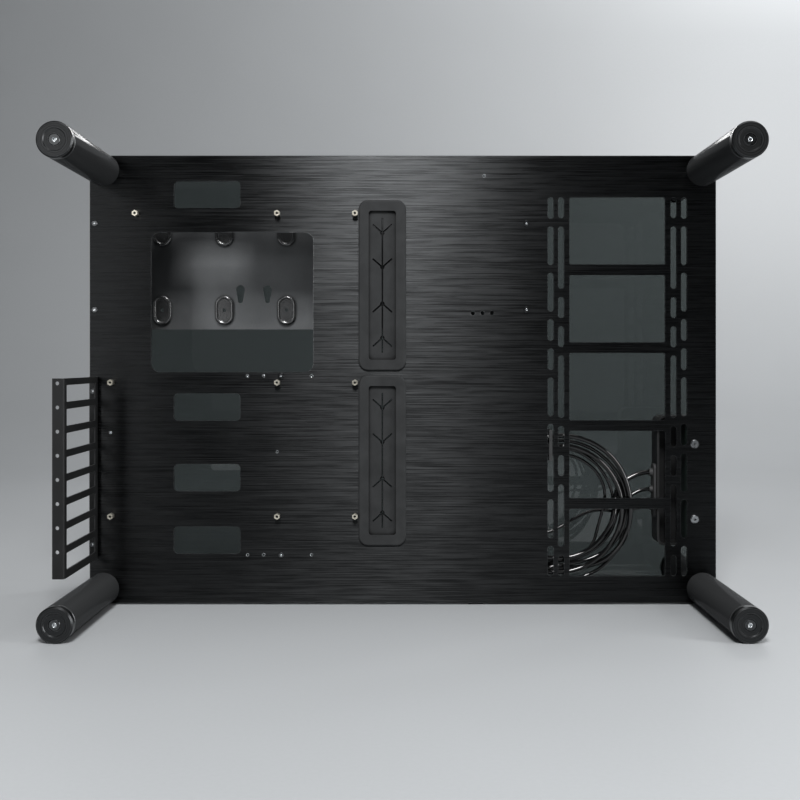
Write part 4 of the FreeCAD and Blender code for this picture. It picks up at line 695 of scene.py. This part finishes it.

# %% [markdown]
# ## Rubber, plastic and board
# These are soft or moulded skins. Rubber is nearly matt, apart from the polished drive pads, and its
# edges are paler, partly where it is rubbed and partly as a painted highlight. Moulded plastic has a fine
# spark-eroded grain, and cable jackets are smooth and glossy so that they catch long thin highlights.

# %% Rubber
rubbers = {
    "rubber": finish(
        "black_rubber", "grain", grain(3000.0, 90.0), tones=(0.015, 0.028), rough=(0.6, 0.75),
        bump=(0.15, 0.0002)),
    # Painted crevice shade darkens the slits and dots of the grommets.
    "grommet": finish(
        "grey_grommet_rubber", "grain", grain(2600.0, 60.0), tones=(0.02, 0.033), rough=(0.46, 0.6),
        bump=(0.2, 0.0002), edge=(0.0008, 0.3, 0.07), crevice=0.005, Specular_IOR_Level=0.06),
    # Painted crevice shade darkens the pads' recesses and their foot on the tray.
    "pad_rubber": finish(
        "grey_pad_rubber", "grain", grain(3000.0, 80.0), tones=(0.018, 0.03), rough=(0.2, 0.3),
        bump=(0.05, 0.0001), crevice=0.003, Specular_IOR_Level=0.9, Coat_Weight=1.0, Coat_IOR=1.9,
        Coat_Roughness=0.12),
}
finishes.update(rubbers)
print("rubber:", ", ".join(rubbers))

# %% Plastic and board
plastics = {
    "panel_plastic": finish(
        "black_panel_plastic", "grain", grain(2400.0, 50.0), tones=(0.006, 0.011), rough=(0.38, 0.5),
        bump=(0.15, 0.0002), edge=(0.0006, 0.3, 0.04), dust=0.04, Specular_IOR_Level=0.2),
    "board": finish(
        "black_circuit_board", "grain", grain(1800.0, 120.0),
        tones=((0.008, 0.014, 0.012), (0.018, 0.03, 0.026)), rough=(0.3, 0.42), bump=(0.08, 0.0001),
        Coat_Weight=0.4),
    "socket_tongue": finish(
        "blue_socket_tongue", "grain", grain(3000.0, 80.0),
        tones=((0.02, 0.09, 0.33), (0.035, 0.12, 0.42)), rough=(0.34, 0.45), bump=(0.1, 0.0001)),
    "jack_plastic": finish(
        "black_jack_plastic", "grain", grain(3000.0, 90.0), tones=(0.015, 0.026), rough=(0.3, 0.42),
        bump=(0.12, 0.0001)),
    "button_plastic": finish(
        "satin_button_plastic", "grain", grain(2800.0, 70.0), tones=(0.03, 0.05), rough=(0.3, 0.4),
        bump=(0.12, 0.0001), edge=(0.0005, 0.5, 0.16)),
    "cable_jacket": finish(
        "glossy_cable_jacket", "grain", grain(900.0, 70.0), tones=(0.002, 0.004), rough=(0.05, 0.1),
        bump=(0.02, 0.0001), Specular_IOR_Level=0.5),
    "tie_plastic": finish(
        "black_tie_nylon", "grain", grain(1600.0, 90.0), tones=(0.014, 0.026), rough=(0.34, 0.46),
        bump=(0.1, 0.0001)),
    "connector_plastic": finish(
        "black_connector_plastic", "grain", grain(2600.0, 90.0), tones=(0.015, 0.028), rough=(0.36, 0.5),
        bump=(0.15, 0.0001), edge=(0.0005, 0.3, 0.1)),
}
finishes.update(plastics)
print("plastic and board:", ", ".join(plastics))

# %% [markdown]
# ## Smoked glass
# Glass tinted in the mass keeps a clean mirror on its surface while it darkens what is behind it. The
# tint goes into the base colour of a transmitting shader. Only a trace of wiped-on haze changes over the
# surface, through the roughness.

# %% Glass finish
GLASS_TINT = (0.092, 0.106, 0.104)
GLASS_IOR = 1.47
HAZE_ROUGHNESS = (0.01, 0.05)


def smoked_glass():
    material, tree, shader = new_material("smoked_glass")
    haze = place_effect(tree, "grain", grain(60.0, 9.0))
    tree.links.new(ranged(tree, haze["Mask"], WHOLE, HAZE_ROUGHNESS), shader["Roughness"])
    shader["Base Color"].default_value = rgba(GLASS_TINT)
    shader["Transmission Weight"].default_value = 1.0
    shader["IOR"].default_value = GLASS_IOR
    return material


finishes["smoked_glass"] = smoked_glass()
print("smoked glass of tint", GLASS_TINT)

# %% [markdown]
# ## Paper for the sweep
# The sweep is nearly matt card, so the object leaves a soft shadow on it and no mirror image. It isn't
# part of the object, but it lights it from below.

# %% Paper finish
pale_card = finish(
    "pale_card", "grain", grain(300.0, 1.2), tones=(0.36, 0.4), rough=(0.5, 0.58), bump=(0.01, 0.0002))
sweep_mesh.materials.append(pale_card)
print("paper on the sweep:", pale_card.name)

# %% [markdown]
# ## Small parts that repeat
# Threads, wrench sockets and contacts are too fine for the CAD model, yet they are what the eye looks for
# at a screw or a plug. Each of them repeats, so each kind is one Geometry Nodes tree. The script hands
# the tree a cloud of places, and the tree puts the same small form at every place and turns it to face
# the right way.
#
# They could be copied by a loop in Python as well. A tree is easier to change later: its sizes are named
# inputs, and one edit of the form changes every copy. The result is turned into a plain mesh at the end,
# because instances and modifiers are lost on export.

# %% Helpers for Geometry Nodes
def repeat_tree(name, inputs):
    """A tree that takes places, the named sizes, the axis that the form faces and a material."""
    tree = bpy.data.node_groups.new(name, "GeometryNodeTree")
    tree.is_modifier = True
    tree.interface.new_socket("Places", in_out="INPUT", socket_type="NodeSocketGeometry")
    for label, kind in {**inputs, "Axis": "Vector", "Material": "Material"}.items():
        tree.interface.new_socket(label, in_out="INPUT", socket_type="NodeSocket" + kind)
    tree.interface.new_socket("Parts", in_out="OUTPUT", socket_type="NodeSocketGeometry")
    return tree, tree.nodes.new("NodeGroupInput").outputs


def at_every_place(tree, entry, form):
    """Ends a tree: the form at each place with its Z along the axis, made real and given its material."""
    turned = add(tree, "FunctionNodeAlignRotationToVector", {"axis": "Z"}, {"Vector": entry["Axis"]})
    links = {"Points": entry["Places"], "Instance": form, "Rotation": turned.outputs[0]}
    placed = add(tree, "GeometryNodeInstanceOnPoints", {}, links)
    real = add(tree, "GeometryNodeRealizeInstances", {}, {"Geometry": placed.outputs[0]})
    links = {"Geometry": real.outputs[0], "Material": entry["Material"]}
    dressed = add(tree, "GeometryNodeSetMaterial", {}, links)
    tree.links.new(dressed.outputs[0], tree.nodes.new("NodeGroupOutput").inputs["Parts"])
    return tree


def repeated(name, tree, places, slot, smooth=False, **sizes):
    """A plain mesh piece made by a tree at the given places, in millimetres of the frame."""
    cloud = bpy.data.meshes.new(name + "_places")
    cloud.from_pydata([Vector(place) / MM_PER_METRE for place in places], [], [])
    maker = bpy.data.objects.new(name + "_maker", cloud)
    scene.collection.objects.link(maker)
    modifier = maker.modifiers.new("repeat", "NODES")
    modifier.node_group = tree
    for socket in tree.interface.items_tree:
        if socket.in_out == "INPUT" and socket.name in sizes:
            modifier[socket.identifier] = sizes[socket.name]
    graph = bpy.context.evaluated_depsgraph_get()
    mesh = bpy.data.meshes.new_from_object(maker.evaluated_get(graph))
    bpy.data.objects.remove(maker)
    if smooth:
        mesh.shade_smooth()
    piece = bpy.data.objects.new(name, mesh)
    scene.collection.objects.link(piece)
    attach(piece, "case")
    print(f"{name}: {len(places)} places, {len(mesh.polygons)} faces")
    return piece


# %% [markdown]
# ### Threads in the tapped holes
# A stand-off is tapped for the screw that holds the board. Its thread is a ridge wound along the wall of
# the hole, so the tree draws a spiral with a height and sweeps a small round section along it. The plate
# has tapped holes too, most of them for moving the power supply strap. They were cut after the dyeing, so
# their threads are bare metal.

# %% Tree: thread
def thread_tree():
    tree, entry = repeat_tree("thread", dict.fromkeys(("Turns", "Length", "Radius", "Ridge"), "Float"))
    links = {
        "Resolution": 18, "Rotations": entry["Turns"], "Start Radius": entry["Radius"],
        "End Radius": entry["Radius"], "Height": entry["Length"],
    }
    spiral = add(tree, "GeometryNodeCurveSpiral", {}, links)
    links = {"Resolution": 6, "Radius": entry["Ridge"]}
    section = add(tree, "GeometryNodeCurvePrimitiveCircle", {}, links)
    links = {"Curve": spiral.outputs[0], "Profile Curve": section.outputs[0], "Fill Caps": True}
    swept = add(tree, "GeometryNodeCurveToMesh", {}, links)
    return at_every_place(tree, entry, swept.outputs[0])


# %% Threads of the stand-offs and the plate
FACING_FRONT = (0.0, -1.0, 0.0)
FACING_BACK = (0.0, 1.0, 0.0)
STANDOFF_THREAD_Y = 10.7
BOARD_ROWS = {
    365.1: (-249.07, -116.99, -44.6), 207.62: (-271.93, -116.99, -44.6), 83.16: (-271.93, -116.99, -44.6),
}
PLATE_THREAD_Y = 17.8
FREE_HOLES = [(x, z) for x in (-145.2, -130.1, -85.4) for z in (46.6, 213.8)]
FREE_HOLES += [(-273.1, 160.9), (-117.3, 142.9), (75.8, 400.6)]

thread = thread_tree()
repeated(
    "standoff_threads", thread, [(x, STANDOFF_THREAD_Y, z) for z, row in BOARD_ROWS.items() for x in row],
    "standoff", smooth=True, Turns=8.0, Length=0.004, Radius=0.00122, Ridge=0.00016, Axis=FACING_BACK,
    Material=finishes["standoff"])
repeated(
    "plate_threads", thread, [(x, PLATE_THREAD_Y, z) for x, z in FREE_HOLES], "steel", smooth=True,
    Turns=4.0, Length=0.0024, Radius=0.00132, Ridge=0.00026, Axis=FACING_BACK,
    Material=finishes["worn_steel"])

# %% [markdown]
# ### Wrench sockets
# The screws are blackened, but a wrench has worn their sockets bright, and that glint is what marks a
# screw from a distance. The two panel screws are bright instead, and the dark lining in their sockets is
# painted shade. A socket is a six-sided wall with a floor: a rectangle swept round a hexagon, and a thin
# six-sided plate at the bottom. It lies just inside the socket that the CAD model has.

# %% Tree: wrench socket
HALF_CORNER = math.pi / 6


def socket_tree():
    tree, entry = repeat_tree("wrench socket", dict.fromkeys(("Radius", "Depth", "Wall"), "Float"))
    links = {"Resolution": 6, "Radius": entry["Radius"]}
    hexagon = add(tree, "GeometryNodeCurvePrimitiveCircle", {}, links)
    level = add(tree, "GeometryNodeSetCurveNormal", {"mode": "Z_UP"}, {"Curve": hexagon.outputs[0]})
    links = {"Width": entry["Wall"], "Height": entry["Depth"]}
    section = add(tree, "GeometryNodeCurvePrimitiveQuadrilateral", {}, links)
    links = {"Curve": level.outputs[0], "Profile Curve": section.outputs[0]}
    wall = add(tree, "GeometryNodeCurveToMesh", {}, links)
    links = {"Vertices": 6, "Radius": entry["Radius"], "Depth": entry["Wall"]}
    floor = add(tree, "GeometryNodeMeshCylinder", {}, links)
    down = add(tree, "ShaderNodeCombineXYZ", {}, {"Z": product(tree, entry["Depth"], -0.5)}).outputs[0]
    lowered = add(tree, "GeometryNodeTransform", {}, {"Geometry": floor.outputs[0], "Translation": down})
    cup = tree.nodes.new("GeometryNodeJoinGeometry")
    tree.links.new(lowered.outputs[0], cup.inputs[0])
    tree.links.new(wall.outputs[0], cup.inputs[0])
    links = {"Geometry": cup.outputs[0], "Translation": down, "Rotation": (0.0, 0.0, HALF_CORNER)}
    sunk = add(tree, "GeometryNodeTransform", {}, links)
    return at_every_place(tree, entry, sunk.outputs[0])


# %% Sockets of the cap, panel and small screws
CAP_SCREWS = [(x, z) for x in (-280, 280) for z in (15, 406)]
CAP_SOCKET_Y = 139.6
PANEL_SCREWS = [(272.3, 15.2, 150.2), (272.3, 15.2, 80.0)]
SMALL_SCREWS = [
    (-289, 14.6, 199.5), (-289, 14.6, 56.7), (-287.7, 15.8, 356), (-287.7, 15.8, 275.5),
    (115.2, 15.8, 356), (115.2, 15.8, 275.5), (-113.8, 15.8, 213.8), (-113.8, 15.8, 46.6),
]
WALL_SHARE = 0.12
SOCKET_GAP = 0.05

# Each kind's places, the side that it faces, its width across the flats, its depth and its finish.
SOCKETS = {
    "front_cap_sockets": (
        [(x, -CAP_SOCKET_Y, z) for x, z in CAP_SCREWS], FACING_FRONT, 4.0, 2.3, "worn_steel"),
    "rear_cap_sockets": (
        [(x, CAP_SOCKET_Y, z) for x, z in CAP_SCREWS], FACING_BACK, 4.0, 2.3, "worn_steel"),
    # The dark lining of the panel screws' sockets is painted shade.
    "panel_screw_shade_liners": (PANEL_SCREWS, FACING_FRONT, 2.5, 1.3, "black_steel"),
    "small_screw_sockets": (SMALL_SCREWS, FACING_FRONT, 2.0, 0.9, "worn_steel"),
}
wrench_socket = socket_tree()
for name, (places, axis, flats, depth, look) in SOCKETS.items():
    wall = WALL_SHARE * flats
    radius = (flats / 2 - wall / 2 - SOCKET_GAP) / math.cos(HALF_CORNER)
    repeated(
        name, wrench_socket, places, "steel", Radius=radius / MM_PER_METRE, Depth=depth / MM_PER_METRE,
        Wall=wall / MM_PER_METRE, Axis=axis, Material=finishes[look])

# %% [markdown]
# ### Contacts
# A data socket has gilded leaves on its tongue, and the plugs on the cables have gilded pins. All are
# short bars in rows, so one tree makes them: a line swept with a small section, repeated along a row, and
# the row repeated at each place.

# %% Tree: row of bars
def bars_tree():
    inputs = {"Count": "Int", "Step": "Vector", "Bar": "Vector", "Radius": "Float"}
    tree, entry = repeat_tree("row of bars", inputs)
    bar = add(tree, "GeometryNodeCurvePrimitiveLine", {}, {"End": entry["Bar"]})
    links = {"Resolution": 8, "Radius": entry["Radius"]}
    section = add(tree, "GeometryNodeCurvePrimitiveCircle", {}, links)
    links = {"Curve": bar.outputs[0], "Profile Curve": section.outputs[0], "Fill Caps": True}
    swept = add(tree, "GeometryNodeCurveToMesh", {}, links)
    links = {"Count": entry["Count"], "Offset": entry["Step"]}
    row = add(tree, "GeometryNodeMeshLine", {"mode": "OFFSET"}, links)
    links = {"Points": row.outputs[0], "Instance": swept.outputs[0]}
    filled = add(tree, "GeometryNodeInstanceOnPoints", {}, links)
    return at_every_place(tree, entry, filled.outputs[0])


# %% Leaves on the tongues and pins in the plugs
UPRIGHT = (0.0, 0.0, 1.0)
TONGUE_ROWS = [(275.5, 33.5, 134.6), (275.5, 33.5, 117.6)]

# Each plug's rows, by the place of their first pins, and the pins in a row.
PINS = {
    "data_connector": ([(57, 39, 3.2), (57, 39, 5.8)], 10),
    "sound_connector": ([(63, 24, 2.1), (63, 24, 3.9)], 5),
    "switch_connector": ([(48.5, 65, 2.5)], 2),
}
bars = bars_tree()
repeated(
    "tongue_contacts", bars, TONGUE_ROWS, "socket_shell", smooth=True, Count=4, Step=(0, 0, 0.0026),
    Bar=(0.0095, 0, 0), Radius=0.0004, Axis=UPRIGHT, Material=finishes["contact"])
for node_name, (rows, count) in PINS.items():
    repeated(
        node_name + "_pins", bars, rows, "socket_shell", smooth=True, Count=count, Step=(0, 0.002, 0),
        Bar=(0.0047, 0, 0), Radius=0.00035, Axis=UPRIGHT, Material=finishes["contact"])

# %% [markdown]

# %% [markdown]
# ## Handing the finishes to the parts
# The CAD record names a material slot for every node. Reading that list keeps this script and the model
# in step: a node added later with a known slot is dressed without any change here.

# %% Dress the CAD nodes and the cables
plain = set(nodes)
for subpart in frame["record"]["subparts"]:
    for place in nodes[subpart["node"]].material_slots:
        place.material = finishes[subpart["material_slot"]]
    plain.discard(subpart["node"])
for piece in cables.values():
    piece.data.materials.append(finishes["cable_jacket"])
print(len(nodes) - len(plain), "nodes dressed; left plain:", sorted(plain))
